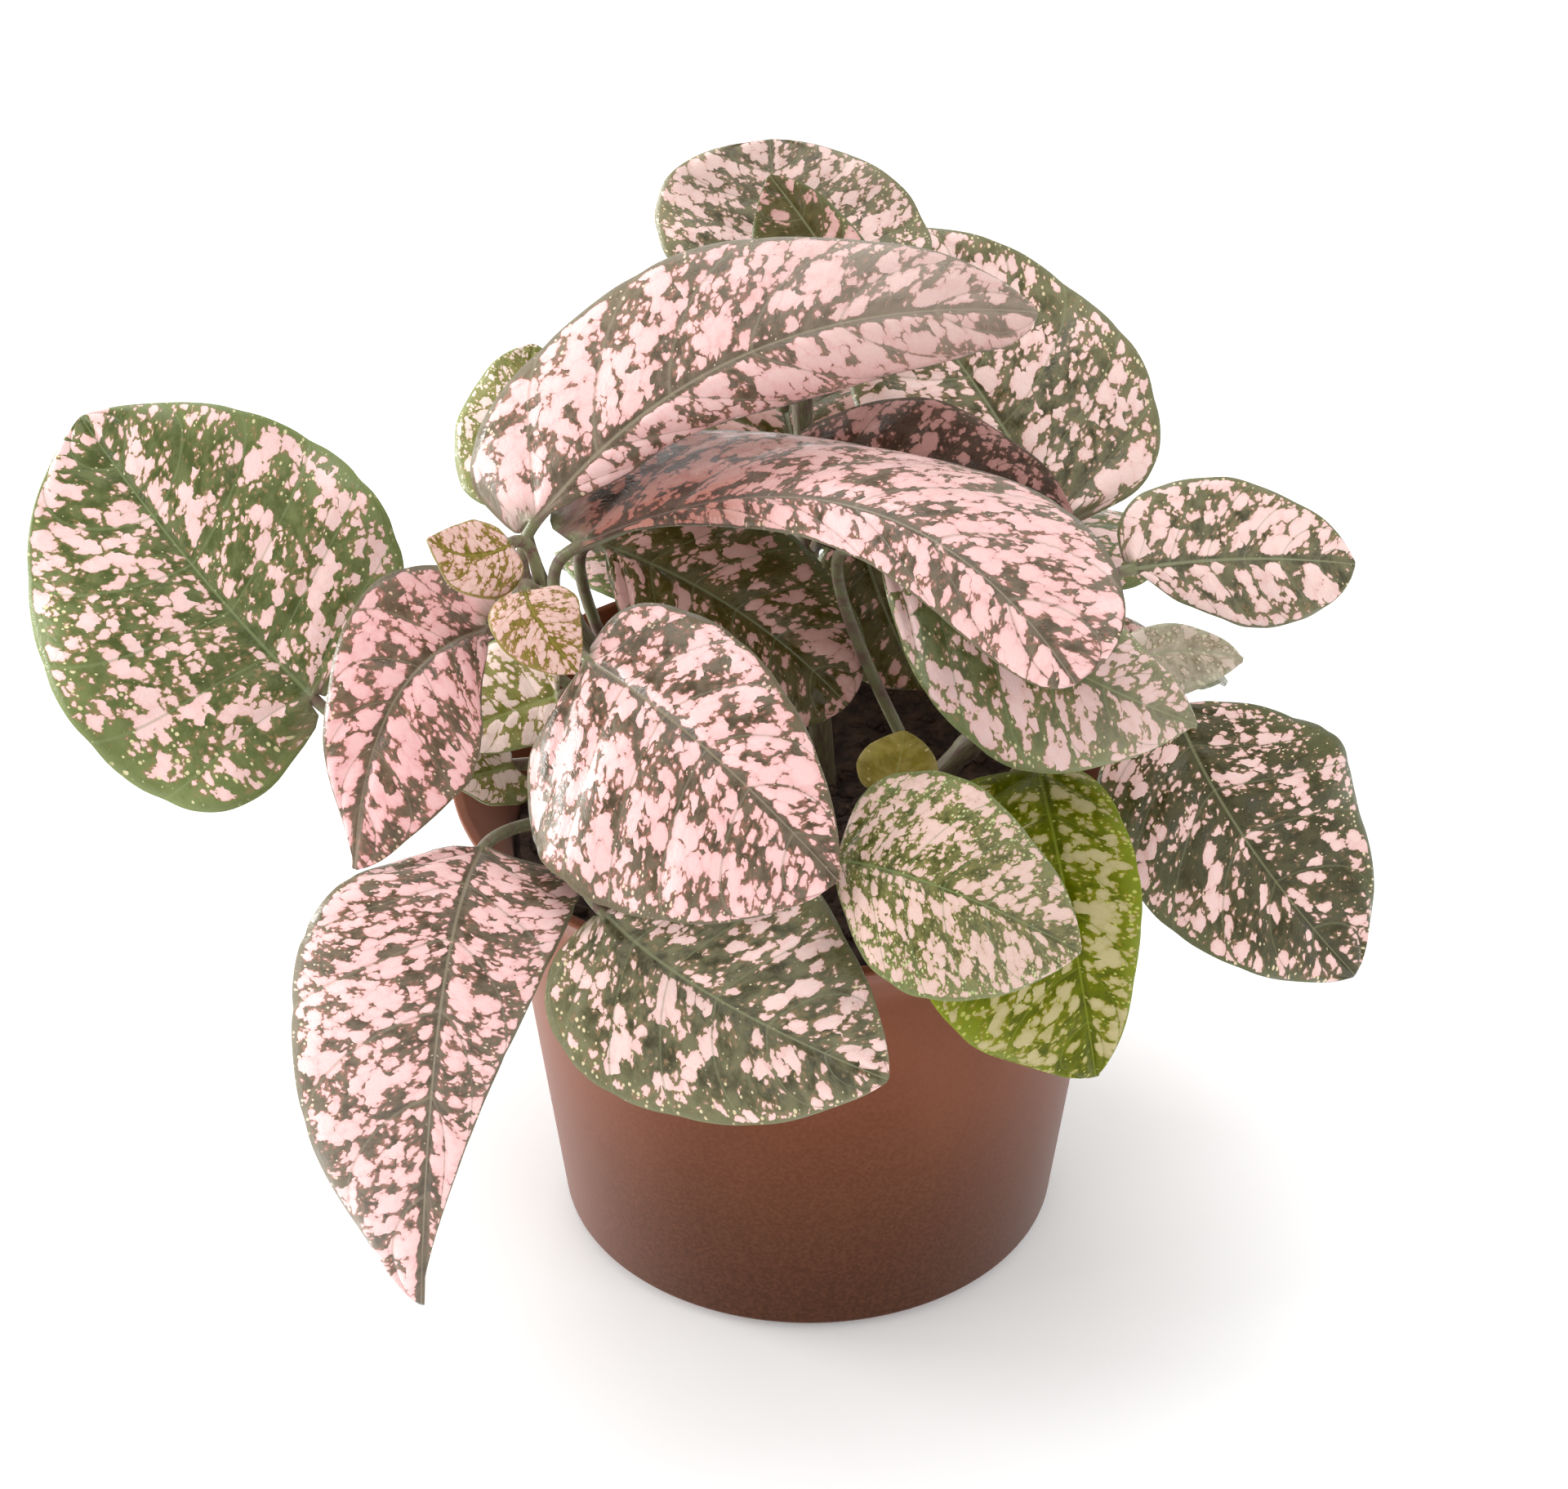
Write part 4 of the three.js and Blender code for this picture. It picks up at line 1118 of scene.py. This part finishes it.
# Mixes the painted sheen and the painted shade into a leaf's skin.
def painted_light_skin(tree, spot, skin):
    outer = compute(tree, "ADD", step_up(tree, spot["along"], *PAINTED_SHEEN_REACH), PAINTED_SHEEN_EVERYWHERE)
    skin = blend(tree, compute(tree, "MULTIPLY", outer, told(tree, "leaf_painted_sheen")), skin, PAINTED_SHEEN_GREY)
    inner = step_up(tree, spot["along"], *LEAF_SHADE_REACH)
    painted_shade = compute(tree, "MULTIPLY", inner, told(tree, "leaf_painted_shade"))
    return blend(tree, painted_shade, skin, LEAF_SHADE_BROWN, "MULTIPLY")


print("hazy leaves", [leaf["name"] for leaf in leaf_list if leaf["painted_sheen"]])

# %% [markdown]
# Underside and petiole
#
# Underneath, a leaf is paler, and the splashes only shine through. The petiole is brownish green. Both could
# have a material of their own, but a leaf is one piece with one finish, and a second material would end in a
# hard line. The attribute that tells upper from lower, and blade from petiole, picks the colour instead.

# %% Underside and petiole
UNDERSIDE = paint(150, 156, 130)
UNDERSIDE_BLUSH = paint(206, 176, 168)
PINK_SHINES_THROUGH = 0.7
GREEN_SHINES_THROUGH = 0.35
PETIOLE_GREEN = paint(122, 122, 88)
PETIOLE_BROWN = paint(112, 88, 76)
PETIOLE_CLOUDS = (0.4, 0.65)
NECK_TINT = (0.0, 0.04)


def lower_skin(tree, green, splash, line):
    blush = compute(tree, "MULTIPLY", splash, PINK_SHINES_THROUGH)
    below = blend(tree, blush, UNDERSIDE, UNDERSIDE_BLUSH)
    below = blend(tree, GREEN_SHINES_THROUGH, below, green)
    return blend(tree, line, below, PETIOLE_GREEN)


def with_petiole(tree, spot, skin):
    stalk = blend(tree, step_up(tree, spot["clouds"], *PETIOLE_CLOUDS), PETIOLE_GREEN, PETIOLE_BROWN)
    neck = compute(tree, "MULTIPLY", spot["blade"], step_up(tree, spot["along"], *NECK_TINT))
    return blend(tree, neck, stalk, skin)


print("a petiole turns into blade within", NECK_TINT[1], "of the midrib")

# %% [markdown]
# One leaf material
#
# The skin of a real leaf is quilted by a net of the finest veins, and it has a satin gloss with a little down
# on it, which lightens at a glancing angle. The net is far too fine for the mesh, so it goes into the bump,
# and the down is the shader's sheen. Each tone gets one material, and leaves of one tone share it.

# %% Leaf material
NET_CELLS = 1.3
NET_GROOVE = (0.0, 0.2)
NET_SHARE = 0.6
SKIN_GRAIN = 6.0
SKIN_BUMP = {"strength": 0.35, "distance": 0.08 * MM}
ROUGHNESS_CLOUDS = (0.2, 0.8, 0.62)
LEAF_ROUGHNESS = 0.5
DOWN_PER_GLOSS = 0.4
DOWN_ROUGHNESS = 0.45


def finish_shader(tree, colour, bump, numbers):
    """Wire colour and bump into the shader, and type the plain numbers into their fields."""
    shader = tree.nodes["Principled BSDF"]
    feed(tree, shader.inputs["Base Color"], colour)
    feed(tree, shader.inputs["Normal"], bump)
    for name, number in numbers.items():
        shader.inputs[name].default_value = number
    return shader


def skin_bump(tree, place):
    inputs = {"Vector": place, "Scale": NET_CELLS}
    net = add_node(tree, "ShaderNodeTexVoronoi", inputs, feature="DISTANCE_TO_EDGE").outputs["Distance"]
    grain = noise_at(tree, place, SKIN_GRAIN)
    height = compute(tree, "MULTIPLY_ADD", step_up(tree, net, *NET_GROOVE), NET_SHARE, grain)
    return bump_from(tree, height, **SKIN_BUMP)


def leaf_material(tone):
    look = TONES[tone]
    material, tree = new_material(f"leaf_{tone}")
    spot = leaf_spot(tree)
    value = splash_value(tree, spot)
    splash = step_up(tree, value, *SPLASH_EDGE)
    line = midrib_line(tree, spot)
    green = green_skin(tree, look, spot, value)
    skin = blend(tree, splash, green, pink_skin(tree, look, spot, value))
    skin = painted_light_skin(tree, spot, lined_skin(tree, look, spot, skin, line))
    skin = blend(tree, spot["upper"], lower_skin(tree, green, splash, line), skin)
    shader = finish_shader(tree, with_petiole(tree, spot, skin), skin_bump(tree, spot["place"]), {
        "Roughness": LEAF_ROUGHNESS,
        "Specular IOR Level": look["gloss"],
        "Sheen Weight": DOWN_PER_GLOSS * look["gloss"],
        "Sheen Roughness": DOWN_ROUGHNESS,
    })
    feed(tree, shader.inputs["Roughness"], step_up(tree, spot["clouds"], *ROUGHNESS_CLOUDS))
    return material


LEAF_MATERIALS = {tone: leaf_material(tone) for tone in TONES}
print("leaf materials", list(LEAF_MATERIALS))

# %% [markdown]
# Hand a finished mesh to the frame
#
# Every piece ends the same way: its object stands at the origin with its place in its mesh, it takes its
# material, it rides on the one body of this object, and it replaces the node that it stands for. Each piece
# could say this for itself, but one function can't forget a line.


# %% Finishing a piece
def finish_piece(name, mesh, material, node):
    mesh.materials.append(material)
    piece = bpy.data.objects.new(name, mesh)
    bpy.context.scene.collection.objects.link(piece)
    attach(piece, "root")
    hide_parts(node)
    return piece


def triangle_count(mesh):
    return sum(len(face.vertices) - 2 for face in mesh.polygons)


print(len(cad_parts), "nodes wait for a piece")

# %% Grow the leaves
leaf_triangles = 0
for number, leaf in enumerate(leaf_list):
    mesh = leaf_mesh(leaf, number)
    leaf_triangles += triangle_count(mesh)
    piece_name = leaf["name"].removeprefix("leaf_") + "_leaf"
    material = LEAF_MATERIALS[leaf["look"] or leaf["tone"]]
    finish_piece(piece_name, mesh, material, leaf["name"])
print(len(leaf_list), "leaves with", leaf_triangles, "triangles")

# %% [markdown]
# Stems
#
# A stem is a slightly tapering tube that bends up out of the soil, with a swollen joint wherever leaves
# grow. A curve with a round bevel could make it, but every joint would need points of its own. Here it
# starts as a plain cylinder from create_cone. Its side edges are cut into rings, and then every corner moves:
# its height along the cylinder becomes a place along the bend.

# %% A cylinder with many rings
STEM_SIDES = 20
STEM_RINGS = 60


def ringed_cylinder(name):
    """A cylinder of radius 1 from -1 to 1, with its sides cut into rings."""
    tube = bmesh.new()
    bmesh.ops.create_cone(
        tube, cap_ends=True, cap_tris=False, segments=STEM_SIDES, radius1=1, radius2=1, depth=2
    )
    uprights = [edge for edge in tube.edges if abs(edge.verts[0].co.z - edge.verts[1].co.z) > 1]
    bmesh.ops.subdivide_edges(tube, edges=uprights, cuts=STEM_RINGS, use_grid_fill=False)
    mesh = bpy.data.meshes.new(name)
    tube.to_mesh(mesh)
    tube.free()
    return mesh


print("a stem has", STEM_RINGS, "rings of", STEM_SIDES, "corners")

# %% The stem's mesh
STEM_BURIED = 6 * MM
TIP_TAPER = 0.3
JOINT_SWELL = 0.22
JOINT_REACH = 0.035
STEM_RIPPLE = {"depth": 0.03, "count": 3, "twist": 9}


def stem_radius(name, t, angle):
    """Thinner towards the tip, thicker at the joints, and never quite round."""
    radius = STEM_RADIUS * (1 - TIP_TAPER * np.clip(t, 0, 1) ** 2)
    for joint in sorted({leaf["at"] for leaf in leaf_list if leaf["stem"] == name}):
        radius = radius * (1 + JOINT_SWELL * np.exp(-((t - joint) / JOINT_REACH) ** 2))
    turn = STEM_RIPPLE["count"] * angle + STEM_RIPPLE["twist"] * t
    return radius * (1 + STEM_RIPPLE["depth"] * np.sin(turn))


def stem_mesh(name):
    bend = bend_through(*STEMS[name])
    mesh = ringed_cylinder(f"{name}_stem")
    x, y, height = corner_points(mesh).T
    length = np.linalg.norm(bend[2] - bend[0])
    buried = STEM_BURIED / length
    t = (height + 1) / 2 * (1 + buried) - buried
    along = bend_direction(bend, np.maximum(t, 0))
    centre = bend_point(bend, np.maximum(t, 0)) + along * (np.minimum(t, 0) * length)[:, None]
    side = square_to(np.array([1.0, 0.0, 0.0]), along)
    front = np.cross(along, side)
    angle = np.arctan2(y, x)
    radius = stem_radius(name, t, angle)
    move_corners(mesh, centre + side * (x * radius)[:, None] + front * (y * radius)[:, None])
    write_map(mesh, "stem_map", np.stack([np.abs(angle), t * length / MM], axis=1))
    mesh.shade_smooth()
    mesh.update()
    return mesh


print("a stem goes", STEM_BURIED / MM, "mm down into the soil")

# %% [markdown]
# Stem skin
#
# The stems are as green as the petioles, with brown streaks that run lengthways. A noise on Object
# coordinates would run straight up and leave the bent stem at an angle, so the streaks follow the stem's own
# map. The map is stretched before the noise reads it, and a round noise turns into long streaks.

# %% Stem material
STEM_GREEN = paint(120, 118, 84)
STEM_BROWN = paint(104, 80, 70)
STREAK_STRETCH = (2.5, 0.25, 1)
STREAK = {"scale": 1.6, "detail": 3.0, "roughness": 0.6}
STREAK_EDGE = (0.35, 0.65)
STEM_BUMP = {"strength": 0.4, "distance": 0.2 * MM}
STEM_FINISH = {"Roughness": 0.55, "Sheen Weight": 0.15}


def stem_material():
    material, tree = new_material("stem")
    place = add_node(tree, "ShaderNodeUVMap", uv_map="stem_map").outputs[0]
    stretched = add_node(tree, "ShaderNodeMapping", {"Vector": place, "Scale": STREAK_STRETCH}).outputs[0]
    streak = noise_at(tree, stretched, **STREAK)
    colour = blend(tree, step_up(tree, streak, *STREAK_EDGE), STEM_GREEN, STEM_BROWN)
    finish_shader(tree, colour, bump_from(tree, streak, **STEM_BUMP), STEM_FINISH)
    return material


print("streaks are", STREAK_STRETCH[0] / STREAK_STRETCH[1], "times as long as wide")

# %% Make the stems
stem_look = stem_material()
for stem_name in STEMS:
    finish_piece(f"{stem_name}_stem", stem_mesh(stem_name), stem_look, f"stem_{stem_name}")
print(len(STEMS), "stems")

# %% [markdown]
# Pot
#
# The pot is a thin moulded cup with a flared lip. A cylinder could be scaled ring by ring, but a turned shape
# is easier to say as a section: half of it is written as a few corners, and spin turns it into the pot. The
# wall, the flare and the lip are the construction model's own sizes.

# %% Pot sizes
POT_HEIGHT = 67 * MM
POT_FOOT_RADIUS = 32 * MM
POT_WALL_SLOPE = 0.124
POT_FLARE_START = 58 * MM
POT_LIP_RADIUS = 45 * MM
POT_WALL = 1.3 * MM
POT_FLOOR = 2 * MM
POT_FOOT_ROUND = 1.6 * MM
POT_FLARE_HOLLOW = 0.6 * MM
POT_LIP_EDGE = 0.7 * MM


def pot_outer_radius(z):
    return POT_FOOT_RADIUS + POT_WALL_SLOPE * z


def pot_section():
    """The corners of the wall, from the middle of the underside round to the middle of the floor."""
    flare_radius = pot_outer_radius(POT_FLARE_START)
    flare_middle = (flare_radius + POT_LIP_RADIUS) / 2 - POT_FLARE_HOLLOW
    flare_height = (POT_FLARE_START + POT_HEIGHT) / 2
    return [
        (0, 0),
        (POT_FOOT_RADIUS - POT_FOOT_ROUND, 0),
        (pot_outer_radius(POT_FOOT_ROUND), POT_FOOT_ROUND),
        (flare_radius, POT_FLARE_START),
        (flare_middle, flare_height),
        (POT_LIP_RADIUS, POT_HEIGHT - POT_LIP_EDGE),
        (POT_LIP_RADIUS, POT_HEIGHT),
        (POT_LIP_RADIUS - POT_WALL, POT_HEIGHT),
        (flare_middle - POT_WALL, flare_height),
        (flare_radius - POT_WALL, POT_FLARE_START),
        (pot_outer_radius(POT_FLOOR) - POT_WALL, POT_FLOOR),
        (0, POT_FLOOR),
    ]


print("the pot's section has", len(pot_section()), "corners")

# %% Turn a section round the axis
SAME_PLACE = 0.001 * MM


def spun(section, segments):
    """A closed turned shape from the corners of half its section, which starts and ends on the axis."""
    shape = bmesh.new()
    corners = [shape.verts.new((radius, 0, z)) for radius, z in section]
    for first, second in zip(corners, corners[1:]):
        shape.edges.new((first, second))
    bmesh.ops.spin(
        shape, geom=shape.verts[:] + shape.edges[:], cent=(0, 0, 0), axis=(0, 0, 1),
        angle=2 * math.pi, steps=segments, use_merge=True,
    )
    bmesh.ops.remove_doubles(shape, verts=shape.verts[:], dist=SAME_PLACE)
    bmesh.ops.recalc_face_normals(shape, faces=shape.faces[:])
    return shape


def rings_at(shape, section, numbers):
    """The round edges of the turned shape at some of the section's corners."""
    found = []
    for edge in shape.edges:
        a, b = (vertex.co for vertex in edge.verts)
        if abs(a.z - b.z) > SAME_PLACE / 10:
            continue
        for number in numbers:
            radius, z = section[number]
            misses = (a.z - z, a.xy.length - radius, b.xy.length - radius)
            if max(abs(miss) for miss in misses) < SAME_PLACE:
                found.append(edge)
    return found


print("points closer than", SAME_PLACE / MM, "mm count as one")

# %% [markdown]
# Rounded edges
#
# Moulded plastic has no sharp edge. Rounded corners could be drawn into the section, but bevel does it after
# the spin with one number. The bends of the flare are rounded widely, on the outside and the inside, and the
# corners of foot, lip and floor only a little.

# %% Pot mesh
POT_SEGMENTS = 180
ROUNDINGS = (
    {"corners": (3, 4, 8, 9), "offset": 1.4 * MM, "segments": 4},
    {"corners": (1, 2, 5, 6, 7, 10), "offset": 0.3 * MM, "segments": 3},
)


def pot_mesh():
    section = pot_section()
    shape = spun(section, POT_SEGMENTS)
    for rounding in ROUNDINGS:
        rings = rings_at(shape, section, rounding["corners"])
        bmesh.ops.bevel(
            shape, geom=rings, offset=rounding["offset"], affect="EDGES", segments=rounding["segments"],
            profile=0.5, material=-1,
        )
    mesh = bpy.data.meshes.new("pot")
    shape.to_mesh(mesh)
    shape.free()
    return mesh


print("roundings", [round(rounding["offset"] / MM, 1) for rounding in ROUNDINGS], "mm")

# %% [markdown]
# Drain holes
#
# Water runs out through round holes in the pot's floor. Holes could be inset in the floor's faces, but those
# are thin wedges round the middle. A Boolean with a few small cylinders cuts clean round holes anywhere.

# %% Drain holes
DRAIN_COUNT = 5
DRAIN_RADIUS = 3 * MM
DRAIN_CIRCLE = 21 * MM
DRILL_SIDES = 32
DRILL_LENGTH = 4 * POT_FLOOR


def drill_object():
    cutter = bmesh.new()
    for number in range(DRAIN_COUNT):
        drill = bmesh.ops.create_cone(
            cutter, cap_ends=True, segments=DRILL_SIDES, radius1=DRAIN_RADIUS, radius2=DRAIN_RADIUS,
            depth=DRILL_LENGTH,
        )
        angle = 2 * math.pi * number / DRAIN_COUNT
        shift = (DRAIN_CIRCLE * math.cos(angle), DRAIN_CIRCLE * math.sin(angle), POT_FLOOR / 2)
        bmesh.ops.translate(cutter, verts=drill["verts"], vec=shift)
    mesh = bpy.data.meshes.new("drills")
    cutter.to_mesh(mesh)
    cutter.free()
    drills = bpy.data.objects.new("drills", mesh)
    bpy.context.scene.collection.objects.link(drills)
    return drills


def drill_holes(piece):
    drills = drill_object()
    cut = piece.modifiers.new("drain_holes", "BOOLEAN")
    cut.operation = "DIFFERENCE"
    cut.solver = "EXACT"
    cut.object = drills
    bpy.context.view_layer.update()
    graph = bpy.context.evaluated_depsgraph_get()
    holed = bpy.data.meshes.new_from_object(piece.evaluated_get(graph))
    piece.modifiers.clear()
    piece.data = holed
    bpy.data.objects.remove(drills)


print(DRAIN_COUNT, "holes of", 2 * DRAIN_RADIUS / MM, "mm")

# %% [markdown]
# Pot plastic
#
# The plastic is a satin brown with a very fine grain from its mould. One flat colour would look like a toy,
# so broad clouds and the grain vary it a little, and the lower part is darker as painted shade. Where the
# wall turns away from the eye the real plastic looks paler and pinker, as it reflects light. That could be
# more light, but light would change the leaves too, so the shader's facing value mixes the paler colour in as
# a painted reflection.

# %% Pot material
POT_BROWN = paint(128, 72, 46)
POT_CLOUD_BROWN = paint(116, 62, 36)
POT_CLOUDS = {"scale": 45.0, "detail": 3.0}
POT_CLOUD_EDGE = (0.3, 0.7)
# Painted shade: the lower part of the pot is darkened.
POT_PAINTED_SHADE = paint(62, 28, 0)
POT_PAINTED_SHADE_REACH = (0.06, 0.0, 0.95)
# Painted reflection: paler and pinker where the wall turns away from the eye.
POT_PAINTED_REFLECTION = paint(190, 146, 138)
POT_REFLECTION_BLEND = 0.35
POT_REFLECTION_REACH = (0.25, 0.9, 0.22)
POT_GRAIN = {"scale": 1900.0, "detail": 2.0, "roughness": 0.6}
POT_SPECK = paint(138, 86, 60)
POT_SPECK_EDGE = (0.35, 0.7)
POT_SPECK_SHARE = 0.2
POT_BUMP = {"strength": 0.25, "distance": 0.06 * MM}
POT_FINISH = {
    "Roughness": 0.5, "Specular IOR Level": 0.15, "Sheen Weight": 0.08, "Sheen Roughness": 0.4,
}


def pot_material():
    material, tree = new_material("pot_plastic")
    place = add_node(tree, "ShaderNodeTexCoord").outputs["Object"]
    cloud = noise_at(tree, place, **POT_CLOUDS)
    grain = noise_at(tree, place, **POT_GRAIN)
    height = add_node(tree, "ShaderNodeSeparateXYZ", {0: place}).outputs[2]
    facing = add_node(tree, "ShaderNodeLayerWeight", {"Blend": POT_REFLECTION_BLEND}).outputs["Facing"]
    speck = compute(tree, "MULTIPLY", step_up(tree, grain, *POT_SPECK_EDGE), POT_SPECK_SHARE)
    colour = blend(tree, step_up(tree, cloud, *POT_CLOUD_EDGE), POT_BROWN, POT_CLOUD_BROWN)
    colour = blend(tree, step_up(tree, height, *POT_PAINTED_SHADE_REACH), colour, POT_PAINTED_SHADE)
    colour = blend(tree, step_up(tree, facing, *POT_REFLECTION_REACH), colour, POT_PAINTED_REFLECTION)
    colour = blend(tree, speck, colour, POT_SPECK)
    finish_shader(tree, colour, bump_from(tree, grain, **POT_BUMP), POT_FINISH)
    return material


print("the pot is darker below", POT_PAINTED_SHADE_REACH[0] / MM, "mm")

# %% Make the pot
SHARP_FROM = math.radians(40)

pot = finish_piece("moulded_pot", pot_mesh(), pot_material(), "pot")
drill_holes(pot)
for polygon in pot.data.polygons:
    polygon.use_smooth = True
pot.data.set_sharp_from_angle(angle=SHARP_FROM)
print("pot", triangle_count(pot.data), "triangles")

# %% [markdown]
# Soil
#
# The compost is a plug with a lumpy top, strewn with crumbs. A displaced plane would do from above, but the
# soil fills the pot, so it is one closed plug. It is turned like the pot, with many rings on its top so that
# waves and a fine noise can lift them. The crumbs are small icospheres, squeezed and sunk half way in, and a
# seeded random draw says where they lie.

# %% Soil sizes
SOIL_TOP = 56 * MM
SOIL_EDGE_DROP = 1 * MM
SOIL_EDGE_WIDTH = 0.5 * MM
SOIL_SEGMENTS = 96
SOIL_RINGS = 40
SOIL_LUMPS = ({"height": 0.65 * MM, "x": 0.23, "y": 0.19}, {"height": 0.45 * MM, "x": 0.41, "y": 0.7})


def soil_height(x, y):
    across, deep = x / MM, y / MM
    height = SOIL_TOP
    for lump in SOIL_LUMPS:
        swell = lump["height"] * math.sin(lump["x"] * across + 1)
        height += swell * math.cos(lump["y"] * deep + lump["x"] * across)
    return height


def soil_section():
    """The corners of the plug's section, which keeps a small gap to the pot's wall and floor."""
    clear = POT_WALL + SEAT_GAP
    bottom = POT_FLOOR + SEAT_GAP
    edge_top = SOIL_TOP - SOIL_EDGE_DROP
    top_radius = pot_outer_radius(edge_top) - clear
    section = [(0, bottom), (pot_outer_radius(bottom) - clear, bottom), (top_radius, edge_top)]
    for ring in range(SOIL_RINGS, -1, -1):
        section.append(((top_radius - SOIL_EDGE_WIDTH) * ring / SOIL_RINGS, SOIL_TOP))
    return section


print("the soil is", round(soil_height(0, 0) / MM, 2), "mm high in the middle")

# %% Soil mesh
SOIL_SEED = 7
SOIL_NOISE = 0.16 * MM
ABOVE_EDGE = 0.01 * MM
CRUMB_COUNT = 420
CRUMB_SIZE = (0.5 * MM, 1.5 * MM)
CRUMB_REACH = 0.96
CRUMB_STRETCH = ((0.7, 1.3), (0.7, 1.3), (0.5, 0.9))
CRUMB_DENTS = (0.8, 1.15)


def strew_crumb(plug, draw, top_radius):
    reach = top_radius * math.sqrt(draw.uniform(0, CRUMB_REACH))
    angle = draw.uniform(0, 2 * math.pi)
    x, y = reach * math.cos(angle), reach * math.sin(angle)
    crumb = bmesh.ops.create_icosphere(plug, subdivisions=1, radius=draw.uniform(*CRUMB_SIZE))["verts"]
    stretch = [draw.uniform(*limits) for limits in CRUMB_STRETCH]
    bmesh.ops.scale(plug, vec=stretch, verts=crumb)
    for vertex in crumb:
        vertex.co *= draw.uniform(*CRUMB_DENTS)
    bmesh.ops.translate(plug, vec=(x, y, soil_height(x, y)), verts=crumb)


def soil_mesh():
    section = soil_section()
    top_radius, edge_top = section[2]
    plug = spun(section, SOIL_SEGMENTS)
    draw = np.random.default_rng(SOIL_SEED)
    for vertex in plug.verts:
        if vertex.co.z > edge_top + ABOVE_EDGE:
            vertex.co.z = soil_height(vertex.co.x, vertex.co.y) + draw.normal(0, SOIL_NOISE)
    for _ in range(CRUMB_COUNT):
        strew_crumb(plug, draw, top_radius)
    mesh = bpy.data.meshes.new("soil")
    plug.to_mesh(mesh)
    plug.free()
    return mesh


print(CRUMB_COUNT, "crumbs from", CRUMB_SIZE[0] / MM, "to", CRUMB_SIZE[1] / MM, "mm")

# %% [markdown]
# Soil colours
#
# Damp compost is nearly black, with paler fibres of bark and peat in it. A picture of soil would repeat, and
# a plain brown would look like paint. Two noises on Object coordinates do better: a coarse one for crumbs,
# which is also the bump, and a fine one of which only the peaks become fibres.

# %% Soil material
SOIL_DARK = paint(38, 26, 22)
SOIL_BROWN = paint(84, 62, 50)
SOIL_CRUMBS = {"scale": 420.0, "detail": 5.0, "roughness": 0.7}
SOIL_CRUMB_EDGE = (0.35, 0.7)
FIBRE = paint(140, 112, 86)
FIBRE_NOISE = {"scale": 1300.0, "detail": 2.0, "roughness": 0.5}
FIBRE_EDGE = (0.68, 0.76, 0.6)
SOIL_BUMP = {"strength": 0.8, "distance": 0.6 * MM}
SOIL_FINISH = {"Roughness": 0.95}


def soil_material():
    material, tree = new_material("compost")
    place = add_node(tree, "ShaderNodeTexCoord").outputs["Object"]
    crumbs = noise_at(tree, place, **SOIL_CRUMBS)
    fibre = noise_at(tree, place, **FIBRE_NOISE)
    colour = blend(tree, step_up(tree, crumbs, *SOIL_CRUMB_EDGE), SOIL_DARK, SOIL_BROWN)
    colour = blend(tree, step_up(tree, fibre, *FIBRE_EDGE), colour, FIBRE)
    finish_shader(tree, colour, bump_from(tree, crumbs, **SOIL_BUMP), SOIL_FINISH)
    return material


print("soil finish", SOIL_FINISH)

# %% Make the soil
soil = finish_piece("potting_compost", soil_mesh(), soil_material(), "soil")
print("soil", triangle_count(soil.data), "triangles with", CRUMB_COUNT, "crumbs")
